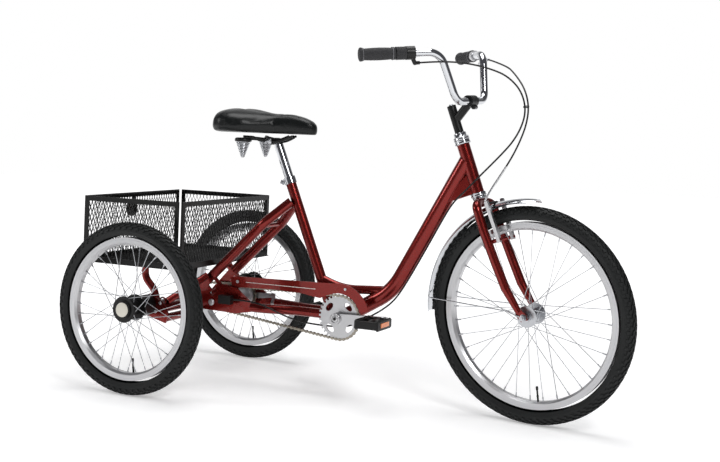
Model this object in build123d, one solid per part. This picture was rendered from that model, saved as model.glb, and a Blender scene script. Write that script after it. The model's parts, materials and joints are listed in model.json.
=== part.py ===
from build123d import *
import os
from math import acos, asin, atan2, cos, degrees, hypot, pi, radians, sin, sqrt, tan

# Adult tricycle: one steered 24 inch front wheel, two 20 inch rear wheels on a live axle, a low
# step-through frame, a three-speed hub carried between the pedals and the rear axle, and an
# expanded-metal cargo basket. Millimetres. While it is built, X points forward from the rear axle,
# Y to the rider's left and Z up from the floor. At the end the whole model moves along X and Y, so
# that its origin is the middle of its footprint on the floor.

# ---------------------------------------------------------------- driving dimensions
RUN = 0.05                # radial clearance of a running fit
GAP = 0.5                 # clearance between two pieces that move past each other

# wheels: tyre size is bead seat diameter plus casing
FRONT_BEAD = 507.0        # 24 inch wheel
REAR_BEAD = 406.0         # 20 inch wheel
RIM_FLANGE = 6.0          # rim flange above the bead seat
TYRE_WIDTH = 49.0
TYRE_WALL = 4.0
TYRE_SINK = 5.0           # how far the casing circle dips below the rim flange
RIM_WIDTH = 30.0
RIM_DEPTH = 22.0
RIM_WALL = 2.5
SPOKES = 36
SPOKE_R = 1.0
NIPPLE_R = 2.0
NIPPLE_LENGTH = 12.0
NIPPLE_GAP = 0.8          # a leaning nipple stops this short of the rim
WHEELBASE = 1119.5
TRACK = 676.0

# steering
HEAD_ANGLE = 69.76        # head axis above the horizontal
RAKE = 46.3               # front axle ahead of the head axis
HEAD_TUBE_ABOVE_AXLE = 368.2
HEAD_TUBE_LENGTH = 144.0
HEAD_TUBE_R = 18.5
HEAD_TUBE_BORE_R = 16.0
STEERER_R = 12.7
STEER_AT_REST = -7.0      # the bars rest turned a little to the rider's right
HEADSET_CUP = 12.0        # height of each headset cup outside the head tube
FORK_SPACING = 100.0      # between the dropouts
BLADE_R = 13.0
BLADE_TIP_R = 9.0
DROPOUT_T = 5.0
FRONT_AXLE_R = 4.75

# handlebar and controls
BAR_R = 11.1
GRIP_R = 16.0
STEM_SHAFT_R = 13.0
STEM_RISE = 261.0         # top of the stem above the foot of the head tube

# frame
SEAT_ANGLE = 67.6         # seat tube above the horizontal
SEAT_TUBE_TOP = (335.0, 639.0)
SEAT_TUBE_R = 16.0
SEAT_TUBE_BORE_R = 14.35
SEAT_POST_R = 14.3
SEAT_POST_TOP_Z = 742.0
SEAT_POST_INSERT = 120.0
SEAT_POST_WALL = 2.2
DOWN_TUBE_DEPTH = 46.0
DOWN_TUBE_WIDTH = 40.0
BRIDGE_TUBE_R = 13.0
STAY_R = 15.0
STAY_Y = 60.0             # seat stays and hub plates, from the middle plane
CHAIN_STAY_R = 14.0
PLATE_T = 6.0
BEAM_R = 14.0
LOWER_BEAM_R = 12.0

# drive train
PITCH = 12.7
RING_TEETH = 32
HUB_TEETH_IN = 20
HUB_TEETH_OUT = 18
AXLE_TEETH = 18
FRONT_LINKS = 86
REAR_LINKS = 44
BB_Z = 243.0
HUB_Z = 263.0
BB_SHELL_R = 21.0
BB_SHELL_WIDTH = 68.0
FRONT_CHAIN_Y = -47.0
REAR_CHAIN_Y = 40.0
CRANK_LENGTH = 152.0
CRANK_AT_REST = 4.0       # degrees above the horizontal, right crank forward
SPINDLE_R = 8.5
HUB_AXLE_R = 5.0
REAR_AXLE_R = 7.5
CRANK_Y = 58.0            # inner face of each crank arm
CRANK_T = 12.0
PEDAL_Y = 135.0

# basket
BASKET_REAR_X = -247.0
BASKET_FRONT_X = 117.0
BASKET_WIDTH = TRACK - 156
BASKET_FLOOR_Z = 365.0
BASKET_HEIGHT = 200.0
BASKET_CORNER_GAP = 8.0
ANGLE_WIDTH = 15.0
ANGLE_T = 3.0
MESH_T = 1.6

# saddle
SADDLE_NOSE_X = 422.0
SADDLE_LENGTH = 317.0
SADDLE_WIDTH = 255.0
SADDLE_TOP_Z = 850.0
SADDLE_SEAM_Z = 800.0
SADDLE_BASE_Z = 776.0
CROWN_INSET = 14.0        # how far the pad's flat top stands in from its sides
RAIL_R = 3.5

# ---------------------------------------------------------------- derived places
FRONT_FLANGE_R = FRONT_BEAD / 2 + RIM_FLANGE
REAR_FLANGE_R = REAR_BEAD / 2 + RIM_FLANGE
TYRE_A = TYRE_WIDTH / 2
CASING_OVER_FLANGE = TYRE_A - TYRE_SINK
FRONT_R = FRONT_FLANGE_R + CASING_OVER_FLANGE + TYRE_A
REAR_R = REAR_FLANGE_R + CASING_OVER_FLANGE + TYRE_A
HALF_TRACK = TRACK / 2

TILT = radians(90 - HEAD_ANGLE)
HEAD_UP = Vector(-sin(TILT), 0, cos(TILT))
HEAD_FORWARD = Vector(cos(TILT), 0, sin(TILT))
FRONT_AXLE = Vector(WHEELBASE, 0, FRONT_R)
HEAD_FOOT = FRONT_AXLE - HEAD_FORWARD * RAKE + HEAD_UP * HEAD_TUBE_ABOVE_AXLE
# local steering frame: x ahead of the head axis, z up along it, origin at the head tube's foot
HEAD = Plane(origin=HEAD_FOOT, x_dir=HEAD_FORWARD, z_dir=HEAD_UP).location
WHEEL_SPOT = Vector(RAKE, 0, -HEAD_TUBE_ABOVE_AXLE)
WORLD_X_LOCAL = Vector(cos(TILT), 0, -sin(TILT))
WORLD_UP_LOCAL = Vector(sin(TILT), 0, cos(TILT))


def pitch_radius(teeth):
    return PITCH / (2 * sin(pi / teeth))


def chain_centres(links, teeth_a, teeth_b):
    """Centre distance of two sprockets that a chain of this many links just fits."""
    straight = links - (teeth_a + teeth_b) / 2
    wrap = ((teeth_a - teeth_b) / (2 * pi)) ** 2
    return PITCH / 4 * (straight + sqrt(straight ** 2 - 8 * wrap))


REAR_CENTRES = chain_centres(REAR_LINKS, HUB_TEETH_OUT, AXLE_TEETH)
HUB_X = sqrt(REAR_CENTRES ** 2 - (HUB_Z - REAR_R) ** 2)
FRONT_CENTRES = chain_centres(FRONT_LINKS, RING_TEETH, HUB_TEETH_IN)
BB_X = HUB_X + sqrt(FRONT_CENTRES ** 2 - (HUB_Z - BB_Z) ** 2)
BB = Vector(BB_X, 0, BB_Z)
HUB = Vector(HUB_X, 0, HUB_Z)
SEAT_DOWN = Vector(cos(radians(SEAT_ANGLE)), 0, -sin(radians(SEAT_ANGLE)))
SEAT_TOP = Vector(SEAT_TUBE_TOP[0], 0, SEAT_TUBE_TOP[1])

PARTS = {}
STEERED = []


# ---------------------------------------------------------------- building helpers
def rod(start, end, radius):
    start, end = Vector(start), Vector(end)
    return extrude(Plane(origin=start, z_dir=end - start) * Circle(radius), (end - start).length)


def pipe(start, end, radius, bore):
    start, end = Vector(start), Vector(end)
    face = Circle(radius) - Circle(bore)
    return extrude(Plane(origin=start, z_dir=end - start) * face, (end - start).length)


def cone_rod(start, end, radius_a, radius_b):
    start, end = Vector(start), Vector(end)
    place = Plane(origin=(start + end) * 0.5, z_dir=end - start).location
    return place * Cone(radius_a, radius_b, (end - start).length)


def bent(points, radii, section):
    """A section swept along straight runs joined by arcs."""
    path = FilletPolyline(*[Vector(p) for p in points], radius=radii)
    start = Plane(origin=path @ 0, x_dir=(0, 1, 0), z_dir=path % 0)
    return sweep(start * section, path)


def largest_radii(points):
    """The largest arc each corner of a cable route allows."""
    points = [Vector(p) for p in points]
    radii = []
    for before, corner, after in zip(points, points[1:], points[2:]):
        turn = radians((corner - before).get_angle(after - corner))
        shorter = min((corner - before).length, (after - corner).length)
        radii.append(0.45 * shorter / tan(turn / 2))
    return radii


def cable(points, radius):
    path = FilletPolyline(*[Vector(p) for p in points], radius=largest_radii(points))
    return sweep(Plane(origin=path @ 0, z_dir=path % 0) * Circle(radius), path)


def side_plate(points, y_near, y_far):
    """A flat plate from an X-Z outline, between two Y planes (y_near is the more positive)."""
    face = make_face(Polyline(*points, close=True).edges())
    return Pos(0, y_near, 0) * extrude(Plane.XZ * face, y_near - y_far, dir=(0, -1, 0))


def solid_group(pieces):
    """Separate solids kept side by side in one node."""
    return Compound([solid for piece in pieces for solid in piece.solids()])


def mirrored(piece):
    return piece.mirror(Plane.XZ)


def keep(name, shape, steered=False):
    PARTS[name] = shape
    if steered:
        STEERED.append(name)


def keep_steered(name, local_shape):
    keep(name, HEAD * local_shape, steered=True)


# ---------------------------------------------------------------- wheels, axis along Y
def tyre(flange_r):
    centre = flange_r + CASING_OVER_FLANGE
    wall = Pos(centre, 0) * (Circle(TYRE_A) - Circle(TYRE_A - TYRE_WALL))
    wall -= Pos(flange_r - TYRE_WIDTH / 2, 0) * Rectangle(TYRE_WIDTH, 2 * TYRE_WIDTH)
    return revolve(wall, Axis.Y)


def rim(flange_r):
    half = RIM_WIDTH / 2
    step = RIM_DEPTH * 0.27
    outer = [(flange_r, half), (flange_r - RIM_DEPTH + step, half), (flange_r - RIM_DEPTH, half - step - 1)]
    inner = [(flange_r - RIM_DEPTH + RIM_WALL, half - step - 1.5),
             (flange_r - RIM_DEPTH + step + 1, half - RIM_WALL), (flange_r, half - RIM_WALL)]
    right = outer + [(r, -y) for r, y in reversed(outer)]
    left = [(r, -y) for r, y in reversed(inner)] + inner
    return revolve(make_face(Polyline(*right, *left, close=True).edges()), Axis.Y)


def leave_circle(start, along, radius):
    """Where a line from inside a circle round the Y axis passes out of it."""
    square = along.X ** 2 + along.Z ** 2
    cross = start.X * along.X + start.Z * along.Z
    inside = start.X ** 2 + start.Z ** 2 - radius ** 2
    return start + along * ((-cross + sqrt(cross ** 2 - square * inside)) / square)


def spokes(flange_r, hub_edge, hub_half, hub_t):
    """Three-cross lacing: each flange has half the spokes, leaving it in turns outboard and inboard."""
    bed = flange_r - RIM_DEPTH - NIPPLE_GAP
    hub_r = hub_edge - SPOKE_CIRCLE_INSET
    pieces = []
    per_side = SPOKES // 2
    for index in range(SPOKES):
        side = 1 if index % 2 else -1
        hole = index // 2
        outboard = 1 if hole % 2 else -1
        rim_angle = 2 * pi * index / SPOKES
        hub_angle = rim_angle + outboard * 2 * pi * 3 / per_side
        lateral = side * hub_half + side * outboard * (hub_t / 2 + SPOKE_R + 0.1)
        start = Vector(hub_r * cos(hub_angle), lateral, hub_r * sin(hub_angle))
        end = Vector(bed * cos(rim_angle), side * 2.0, bed * sin(rim_angle))
        along = (end - start).normalized()
        start = leave_circle(start, along, hub_edge + SPOKE_R)
        neck = end - along * NIPPLE_LENGTH
        pieces.append(rod(start, neck, SPOKE_R) + rod(neck, end, NIPPLE_R))
    return solid_group(pieces)


def hub_shell(profile):
    """A turned hub from (radius, y) corners, listed from one end of the bore to the other."""
    return revolve(make_face(Polyline(*profile, close=True).edges()), Axis.Y)


FRONT_HUB_HALF = 30.0
FRONT_HUB_FLANGE_R = 30.0
FRONT_HUB_T = 3.5
REAR_HUB_HALF = 27.0
REAR_HUB_FLANGE_R = 38.0
REAR_HUB_T = 4.0
REAR_HUB_END = 35.0       # hub centre to the outside of the dust cap
SPOKE_CIRCLE_INSET = 5.0


def front_hub():
    bore = FRONT_AXLE_R + RUN
    out, face = FRONT_HUB_HALF + FRONT_HUB_T / 2, FRONT_HUB_HALF - FRONT_HUB_T / 2
    end = out + 8
    profile = [(bore, -end), (13, -end), (13, -out), (FRONT_HUB_FLANGE_R, -out),
               (FRONT_HUB_FLANGE_R, -face), (15, -face), (15, face), (FRONT_HUB_FLANGE_R, face),
               (FRONT_HUB_FLANGE_R, out), (13, out), (13, end), (bore, end)]
    return hub_shell(profile)


def rear_hub(bore):
    """Outer end towards +Y: a closed dust cap covers the axle's end."""
    out, face = REAR_HUB_HALF + REAR_HUB_T / 2, REAR_HUB_HALF - REAR_HUB_T / 2
    blind = REAR_HUB_END - 7
    profile = [(0, blind), (bore, blind), (bore, -out - 3), (22, -out - 3), (22, -out),
               (REAR_HUB_FLANGE_R, -out), (REAR_HUB_FLANGE_R, -face), (22, -face), (22, face),
               (REAR_HUB_FLANGE_R, face), (REAR_HUB_FLANGE_R, out), (26, out),
               (24, out + 4), (0, REAR_HUB_END)]
    return hub_shell(profile)


def build_wheels():
    wheel = Pos(*WHEEL_SPOT)
    keep_steered("front_tyre", wheel * tyre(FRONT_FLANGE_R))
    keep_steered("front_rim", wheel * rim(FRONT_FLANGE_R))
    keep_steered("front_spokes", wheel * spokes(FRONT_FLANGE_R, FRONT_HUB_FLANGE_R, FRONT_HUB_HALF, FRONT_HUB_T))
    keep_steered("front_hub", wheel * front_hub())
    for name, side, bore in (("right", -1, REAR_AXLE_R), ("left", 1, REAR_AXLE_R + RUN)):
        place = Pos(0, side * HALF_TRACK, REAR_R)
        hub = rear_hub(bore)
        keep(name + "_tyre", place * tyre(REAR_FLANGE_R))
        keep(name + "_rim", place * rim(REAR_FLANGE_R))
        keep(name + "_spokes", place * spokes(REAR_FLANGE_R, REAR_HUB_FLANGE_R, REAR_HUB_HALF, REAR_HUB_T))
        keep(name + "_hub", place * (hub if side > 0 else mirrored(hub)))


# ---------------------------------------------------------------- steering: fork, stem, bars
CROWN_S = -30.0           # crown centre on the head axis
BLADE_Y = 53.0
BLADE_LINE = [(2, 15, -26), (8, BLADE_Y - 3, -38), (9, BLADE_Y, -110), (15, BLADE_Y, -205),
              (21, BLADE_Y - 1, -280)]
FENDER_R = 325.0
FENDER_HALF = 27.0
FENDER_T = 1.2
FENDER_DROP = 13.0
FENDER_START, FENDER_END = 67.0, 164.0      # degrees up from the wheel's forward direction
BRAKE_F = 42.0            # brake arm plane ahead of the head axis
BRAKE_STUD_Y = 44.0
BRAKE_STUD_S = -145.0
BRAKE_STUD_R = 4.0
PAD_S = -118.0
PAD_CLEAR = 2.4           # each pad from the rim; a full pull of the lever uses nearly all of it
ARM_TOP_S = -34.0
ARM_TOP_Y = 50.0
ARM_T = 10.0


def build_fork():
    foot = -HEADSET_CUP
    top = HEAD_TUBE_LENGTH + HEADSET_CUP + 20
    steerer = pipe((0, 0, foot - 6), (0, 0, top), STEERER_R, 11.15)
    crown = rod((0, 0, CROWN_S - 8), (0, 0, foot - 6), 18)
    crown += rod((3, -17, CROWN_S), (3, 17, CROWN_S), 13)
    race = pipe((0, 0, foot - 6), (0, 0, foot - GAP), 19, STEERER_R)
    blade_section = Circle(BLADE_R)
    blades = []
    for side in (-1, 1):
        line = [(f, side * y, s) for f, y, s in BLADE_LINE]
        blade = bent(line, [20, 90, 200], blade_section)
        tip = Vector(RAKE - 9, side * FORK_SPACING / 2, WHEEL_SPOT.Z + 18)
        last, before = Vector(line[-1]), Vector(line[-2])
        root = last - (last - before).normalized() * 3
        blade += cone_rod(root, tip, BLADE_R - 0.2, BLADE_TIP_R)
        tab = [(RAKE - 17, tip.Z + 6), (RAKE - 2, tip.Z + 8), (RAKE + 11, WHEEL_SPOT.Z + 6),
               (RAKE + 10, WHEEL_SPOT.Z - 9), (RAKE - 10, WHEEL_SPOT.Z - 9), (RAKE - 20, WHEEL_SPOT.Z + 12)]
        y_tab = side * FORK_SPACING / 2
        blade += side_plate(tab, y_tab + DROPOUT_T / 2, y_tab - DROPOUT_T / 2)
        blade -= Pos(RAKE, y_tab, WHEEL_SPOT.Z) * Rot(90, 0, 0) * Cylinder(FRONT_AXLE_R + 0.1, 30)
        blade += rod((9, side * BRAKE_STUD_Y, BRAKE_STUD_S),
                     (BRAKE_F - ARM_T / 2 - GAP, side * BRAKE_STUD_Y, BRAKE_STUD_S), 6)
        blade += rod((9, side * BRAKE_STUD_Y, BRAKE_STUD_S),
                     (BRAKE_F + ARM_T / 2 + 2, side * BRAKE_STUD_Y, BRAKE_STUD_S), BRAKE_STUD_R)
        blades.append(largest(blade - (steerer + crown + race)))
    keep_steered("fork_blades", solid_group(blades))

    cup = HEAD_TUBE_LENGTH + HEADSET_CUP + GAP
    nut = pipe((0, 0, cup), (0, 0, cup + 9), 22, STEERER_R)
    nut += pipe((0, 0, cup + 9), (0, 0, top + 2), 17, STEERER_R)
    keep_steered("fork_crown", solid_group([steerer + crown + race, nut]))

    y = FORK_SPACING / 2
    axle = rod((RAKE, -y - 16, WHEEL_SPOT.Z), (RAKE, y + 16, WHEEL_SPOT.Z), FRONT_AXLE_R)
    inner_end = FRONT_HUB_HALF + FRONT_HUB_T / 2 + 8 + GAP
    for side in (-1, 1):
        plane_in, plane_out = side * (y - DROPOUT_T / 2), side * (y + DROPOUT_T / 2)
        axle += rod((RAKE, side * inner_end, WHEEL_SPOT.Z), (RAKE, plane_in, WHEEL_SPOT.Z), 8)
        axle += rod((RAKE, plane_out, WHEEL_SPOT.Z), (RAKE, plane_out + side * 2, WHEEL_SPOT.Z), 10)
        nut_base = Plane(origin=(RAKE, plane_out + side * 2, WHEEL_SPOT.Z), z_dir=(0, side, 0))
        axle += extrude(nut_base * RegularPolygon(8.7, 6), 8)
    keep_steered("front_axle", axle)


def build_fender():
    wheel = Pos(*WHEEL_SPOT)
    rise = FENDER_DROP
    outer_r = (FENDER_HALF ** 2 + rise ** 2) / (2 * rise)
    centre = FENDER_R - outer_r
    half_angle = degrees(asin(FENDER_HALF / outer_r))
    outer = CenterArc((centre, 0), outer_r, -half_angle, 2 * half_angle)
    inner = CenterArc((centre, 0), outer_r - FENDER_T, half_angle, -2 * half_angle)
    profile = make_face([*outer.edges(), Line(outer @ 1, inner @ 0), *inner.edges(), Line(inner @ 1, outer @ 0)])
    band = revolve(Plane.XY * profile, Axis.Y, FENDER_END - FENDER_START)
    # revolving about +Y turns X towards -Z, so the band starts at its rear end
    shell = wheel * Rot(0, -FENDER_END, 0) * band
    low = radians(FENDER_END - 8)
    edge_r = FENDER_R - FENDER_DROP - 4
    stays = []
    for side in (-1, 1):
        start = (RAKE + edge_r * cos(low), side * (FENDER_HALF + 3), WHEEL_SPOT.Z + edge_r * sin(low))
        corner = (RAKE - 40, side * (FORK_SPACING / 2 + 6), WHEEL_SPOT.Z + 30)
        end = (RAKE - 12, side * (FORK_SPACING / 2 + 6), WHEEL_SPOT.Z + 8)
        stays.append(rod(start, corner, 1.8) + rod(corner, end, 1.8)
                     + Pos(*corner) * Sphere(1.8) + rod(end, (end[0], side * (FORK_SPACING / 2 + 2.5), end[2]), 2.5))
    bracket = side_plate([(-18, CROWN_S - 2), (-26, CROWN_S - 2), (-26, CROWN_S - 24), (-18, CROWN_S - 24)], 8, -8)
    keep_steered("fender", solid_group([shell + bracket] + stays))


BAR_END = Vector(-68.6, 291, 436.7)
BAR_TOP = Vector(83.4, 131, 392.4)
BAR_FOOT = Vector(63.7, 86, 253.6)
BAR_TOP_RADIUS = 48.0
BAR_FOOT_RADIUS = 38.0
GRIP_LEFT = 125.0
GRIP_RIGHT = 96.0
SHIFTER_START, SHIFTER_SPLIT, SHIFTER_END = 98.0, 128.0, 152.0
LEVER_CLAMP_FROM, LEVER_CLAMP_TO = 131.0, 149.0


def side_of(vector, side):
    return Vector(vector.X, side * vector.Y, vector.Z)


def along_bar(side, distance):
    """A point on the swept-back part of the bar, this far in from the bar's end."""
    end, top = side_of(BAR_END, side), side_of(BAR_TOP, side)
    return end + (top - end).normalized() * distance


def lever_frame():
    """Pivot of the brake lever, the direction along the bar and the direction away from it."""
    inward = (BAR_TOP - BAR_END).normalized()
    level = inward.cross(WORLD_UP_LOCAL).normalized()
    if level.dot(WORLD_X_LOCAL) < 0:
        level = level * -1
    away = (level * 0.92 - WORLD_UP_LOCAL * 0.39).normalized()
    away = (away - inward * away.dot(inward)).normalized()
    middle = along_bar(1, (LEVER_CLAMP_FROM + LEVER_CLAMP_TO) / 2)
    return middle, inward, away


def build_bars():
    shaft_foot = HEAD_TUBE_LENGTH + HEADSET_CUP + 22.5
    stem = rod((0, 0, shaft_foot), (0, 0, STEM_RISE), STEM_SHAFT_R)
    stem += rod((0, 0, HEAD_TUBE_LENGTH - 20), (0, 0, shaft_foot), 11.1)
    clamp = Vector(BAR_FOOT.X, 0, BAR_FOOT.Z)
    stem += rod((2, 0, 218), clamp, 12)
    stem += rod((clamp.X, -19, clamp.Z), (clamp.X, 19, clamp.Z), BAR_R + 6)
    stem += rod((clamp.X + 6, -9, clamp.Z - 20), (clamp.X + 6, 9, clamp.Z - 20), 6)
    stem -= rod((clamp.X, -30, clamp.Z), (clamp.X, 30, clamp.Z), BAR_R)
    keep_steered("stem", stem)

    line = [side_of(BAR_END, -1), side_of(BAR_TOP, -1), side_of(BAR_FOOT, -1), BAR_FOOT, BAR_TOP, BAR_END]
    bar = bent([p for p in line], [BAR_TOP_RADIUS, BAR_FOOT_RADIUS] + [BAR_FOOT_RADIUS, BAR_TOP_RADIUS],
               Circle(BAR_R) - Circle(BAR_R - 2))
    keep_steered("handlebar", bar)

    grips = [pipe(along_bar(-1, 1), along_bar(-1, GRIP_RIGHT), GRIP_R, BAR_R),
             pipe(along_bar(1, 1), along_bar(1, GRIP_LEFT), GRIP_R, BAR_R)]
    for side in (-1, 1):
        grips.append(rod(along_bar(side, -4), along_bar(side, 0), GRIP_R))
    keep_steered("grips", solid_group(grips))

    keep_steered("shifter_grip", pipe(along_bar(-1, SHIFTER_START),
                                      along_bar(-1, SHIFTER_SPLIT - GAP), 17.5, BAR_R + RUN))
    body = pipe(along_bar(-1, SHIFTER_SPLIT), along_bar(-1, SHIFTER_END), 19, BAR_R)
    outlet = Vector(SHIFT_LOOP[0])
    start = along_bar(-1, (SHIFTER_SPLIT + SHIFTER_END) / 2)
    heading = (Vector(SHIFT_LOOP[1]) - outlet).normalized()
    elbow = outlet - heading * 14
    horn = rod(start, elbow, 6) + Pos(*elbow) * Sphere(6)
    horn += rod(elbow, outlet, 5)
    horn -= rod(along_bar(-1, 90), along_bar(-1, 190), BAR_R + 1)
    keep_steered("shifter_body", body + horn)


def build_brake_lever():
    middle, inward, away = lever_frame()
    normal = inward.cross(away)
    pivot = middle + away * 30 + inward * 4
    clamp = pipe(along_bar(1, LEVER_CLAMP_FROM), along_bar(1, LEVER_CLAMP_TO),
                 BAR_R + 4, BAR_R)
    ears = rod((middle + away * (BAR_R + 2)), (pivot - away * 2), 7)
    ears += rod((pivot - normal * 9), (pivot + normal * 9), 6)
    nose = pivot + inward * 26 + away * 3
    ears += rod((pivot + inward * 4), nose, 5)
    # the blade's slot: the lever turns between the two ears
    slot = Plane(origin=pivot - normal * 3.5, x_dir=inward * -1, z_dir=normal)
    ears -= extrude(slot * Pos(6, 0) * Rectangle(34, 26), 7)
    ears += rod((pivot - normal * 9), (pivot + normal * 9), 2.5)
    keep_steered("lever_mount", clamp + ears - rod(along_bar(1, 100), along_bar(1, 190), BAR_R))

    plane = Plane(origin=pivot - normal * 3, x_dir=inward * -1, z_dir=normal)
    # plane's y runs towards the bar or away from it, whichever the axes give
    flip = 1 if plane.y_dir.dot(away) > 0 else -1
    outline = [(-3, -5), (12, -3), (38, 10), (96, 14), (104, 18), (106, 24), (98, 24), (36, 20), (4, 6), (-5, 4)]
    blade = make_face(Polyline(*[(x, flip * y) for x, y in outline], close=True).edges())
    blade -= Circle(2.5 + RUN)
    keep_steered("brake_lever", extrude(plane * blade, 6, dir=tuple(normal)))
    return pivot, nose


def brake_arm(side):
    """One arm of the rim brake, with its pad, at the rider's left for side 1."""
    stud = Vector(BRAKE_F, side * BRAKE_STUD_Y, BRAKE_STUD_S)
    y = side * BRAKE_STUD_Y
    low, top = BRAKE_STUD_S - 8, ARM_TOP_S
    outline = [(y - side * 6, low), (y + side * 6, low), (y + side * 7, BRAKE_STUD_S + 30),
               (side * (ARM_TOP_Y + 5), top), (side * (ARM_TOP_Y - 5), top + 2), (y - side * 6, BRAKE_STUD_S + 34)]
    face = make_face(Polyline(*outline, close=True).edges())
    plane = Plane(origin=(BRAKE_F - ARM_T / 2, 0, 0), x_dir=(0, 1, 0), z_dir=(1, 0, 0))
    arm = extrude(plane * face, ARM_T, dir=(1, 0, 0))
    arm -= rod((stud.X - 20, y, stud.Z), (stud.X + 20, y, stud.Z), BRAKE_STUD_R + RUN)
    rim_side = RIM_WIDTH / 2 + PAD_CLEAR
    arm += rod((BRAKE_F, side * (rim_side + 8), PAD_S), (BRAKE_F, y, PAD_S), 3.5)
    pad = Pos(BRAKE_F, side * (rim_side + 5), PAD_S) * Box(52, 10, 11)
    return solid_group([arm - pad, pad])


BRAKE_CABLE_R = 2.5
BRAKE_LOOP = [(155, 112, 326), (178, 86, 301), (199, 60, 272), (217, 35, 241), (227, 14, 208),
              (226, 0, 172), (209, -9, 134), (186, -16, 103), (156, -22, 71), (124, -30, 42),
              (92, -41, 14), (70, -52, -6), (54, -61, -23), (45, -63, -33)]
SHIFT_LOOP = [(34, -170, 378), (78, -147, 366), (118, -112, 350), (150, -78, 331), (180, -49, 307), (205, -28, 281),
              (223, -14, 242), (227, -10, 202), (218, -11, 164), (194, -15, 130), (160, -20, 101),
              (120, -26, 79), (78, -33, 58), (36, -39, 38), (-6, -40, 18)]
# the part that the frame holds, from beside the head tube to the hub's gear box
SHIFT_FRAME = [(894, -33, 611), (870, -20, 584), (842, -11, 540), (790, -9, 446), (741, -10, 359),
               (706, -10, 306), (664, -10, 271), (610, -12, 240), (568, -18, 216), (522, -27, 211),
               (478, -30, 211), (436, -34, 213), (402, -40, 218), (376, -50, 226), (350, -64, 238), (324, -75, 251),
               (290, -81, 264), (232, -83, 268)]


def rested(spot):
    """Where a point that turns with the bars stands when they rest."""
    return (spot - HEAD_FOOT).rotate(Axis((0, 0, 0), HEAD_UP), STEER_AT_REST) + HEAD_FOOT


def build_cables():
    pivot, nose = build_brake_lever()
    _, inward, away = lever_frame()
    exit_point = nose + inward * 0.5
    first = exit_point + (nose - pivot).normalized() * 16
    noodle_end = (BRAKE_F, -(ARM_TOP_Y + 8), ARM_TOP_S - 6)
    route = [exit_point, first] + BRAKE_LOOP + [noodle_end]
    keep_steered("brake_cable", cable(route, BRAKE_CABLE_R))

    loop = [rested((HEAD * Pos(*point)).position) for point in SHIFT_LOOP]
    keep("shift_cable", cable(loop + SHIFT_FRAME, BRAKE_CABLE_R))


# ---------------------------------------------------------------- frame
DOWN_TOP = HEAD_FOOT + HEAD_UP * 96.2 - HEAD_FORWARD * 3.6
DOWN_KNEE = Vector(BB.X + 0.37 * (HEAD_FOOT.X - BB.X), 0, 330)
DOWN_BEND = 190.0
PLATE_FRONT_X = 250.0
PLATE_LOW_Z = 230.0
STAY_FOOT = (110.0, 336.0)
STAY_KNEE = (284.0, 506.0)


def seat_tube_outer():
    bottom_z = BB_Z + 8
    length = (SEAT_TOP.Z - bottom_z) / -SEAT_DOWN.Z
    return rod(SEAT_TOP, (SEAT_TOP + SEAT_DOWN * length), SEAT_TUBE_R)


def down_tube_outer():
    return bent([DOWN_TOP, DOWN_KNEE, BB], [DOWN_BEND],
                Ellipse(DOWN_TUBE_WIDTH / 2, DOWN_TUBE_DEPTH / 2))


def build_front_triangle():
    head_outer = HEAD * rod((0, 0, 0), (0, 0, HEAD_TUBE_LENGTH), HEAD_TUBE_R)
    head_bore = HEAD * rod((0, 0, -5), (0, 0, HEAD_TUBE_LENGTH + 5), HEAD_TUBE_BORE_R)
    down = down_tube_outer()
    corners = [(-24, 57), (-2, -5), (-8, -8), (-81, -47), (-104, -33)]
    gusset = side_plate([(HEAD_FOOT.X + x, HEAD_FOOT.Z + z) for x, z in corners], 13, -13)
    gusset -= HEAD * Pos(0, 0, -100) * Box(400, 100, 200)
    keep("head_tube", (head_outer + (gusset - down)) - head_bore)

    shell = rod((BB.X, -BB_SHELL_WIDTH / 2, BB.Z), (BB.X, BB_SHELL_WIDTH / 2, BB.Z), BB_SHELL_R)
    hollow = offset_down_tube()
    down_tube = down - hollow - head_outer - shell

    seat = seat_tube_outer()
    bridge_line = [(455, 0, 347), (530, 0, 321), (DOWN_KNEE.X + 16, 0, 332)]
    bridge = bent(bridge_line, [230], Circle(BRIDGE_TUBE_R)) - bent(bridge_line, [230], Circle(BRIDGE_TUBE_R - 2))
    keep("down_tube", solid_group([largest(down_tube), largest(bridge - seat - down)]))

    bore_depth = SEAT_POST_INSERT + 90
    bore = rod((SEAT_TOP - SEAT_DOWN * 5), (SEAT_TOP + SEAT_DOWN * bore_depth), SEAT_TUBE_BORE_R)
    keep("seat_tube", seat - bore - shell)


def largest(shape):
    return max(shape.solids(), key=lambda solid: solid.volume)


def offset_down_tube():
    wall = 2.5
    return bent([DOWN_TOP, DOWN_KNEE, BB], [DOWN_BEND],
                Ellipse(DOWN_TUBE_WIDTH / 2 - wall, DOWN_TUBE_DEPTH / 2 - wall))


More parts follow.
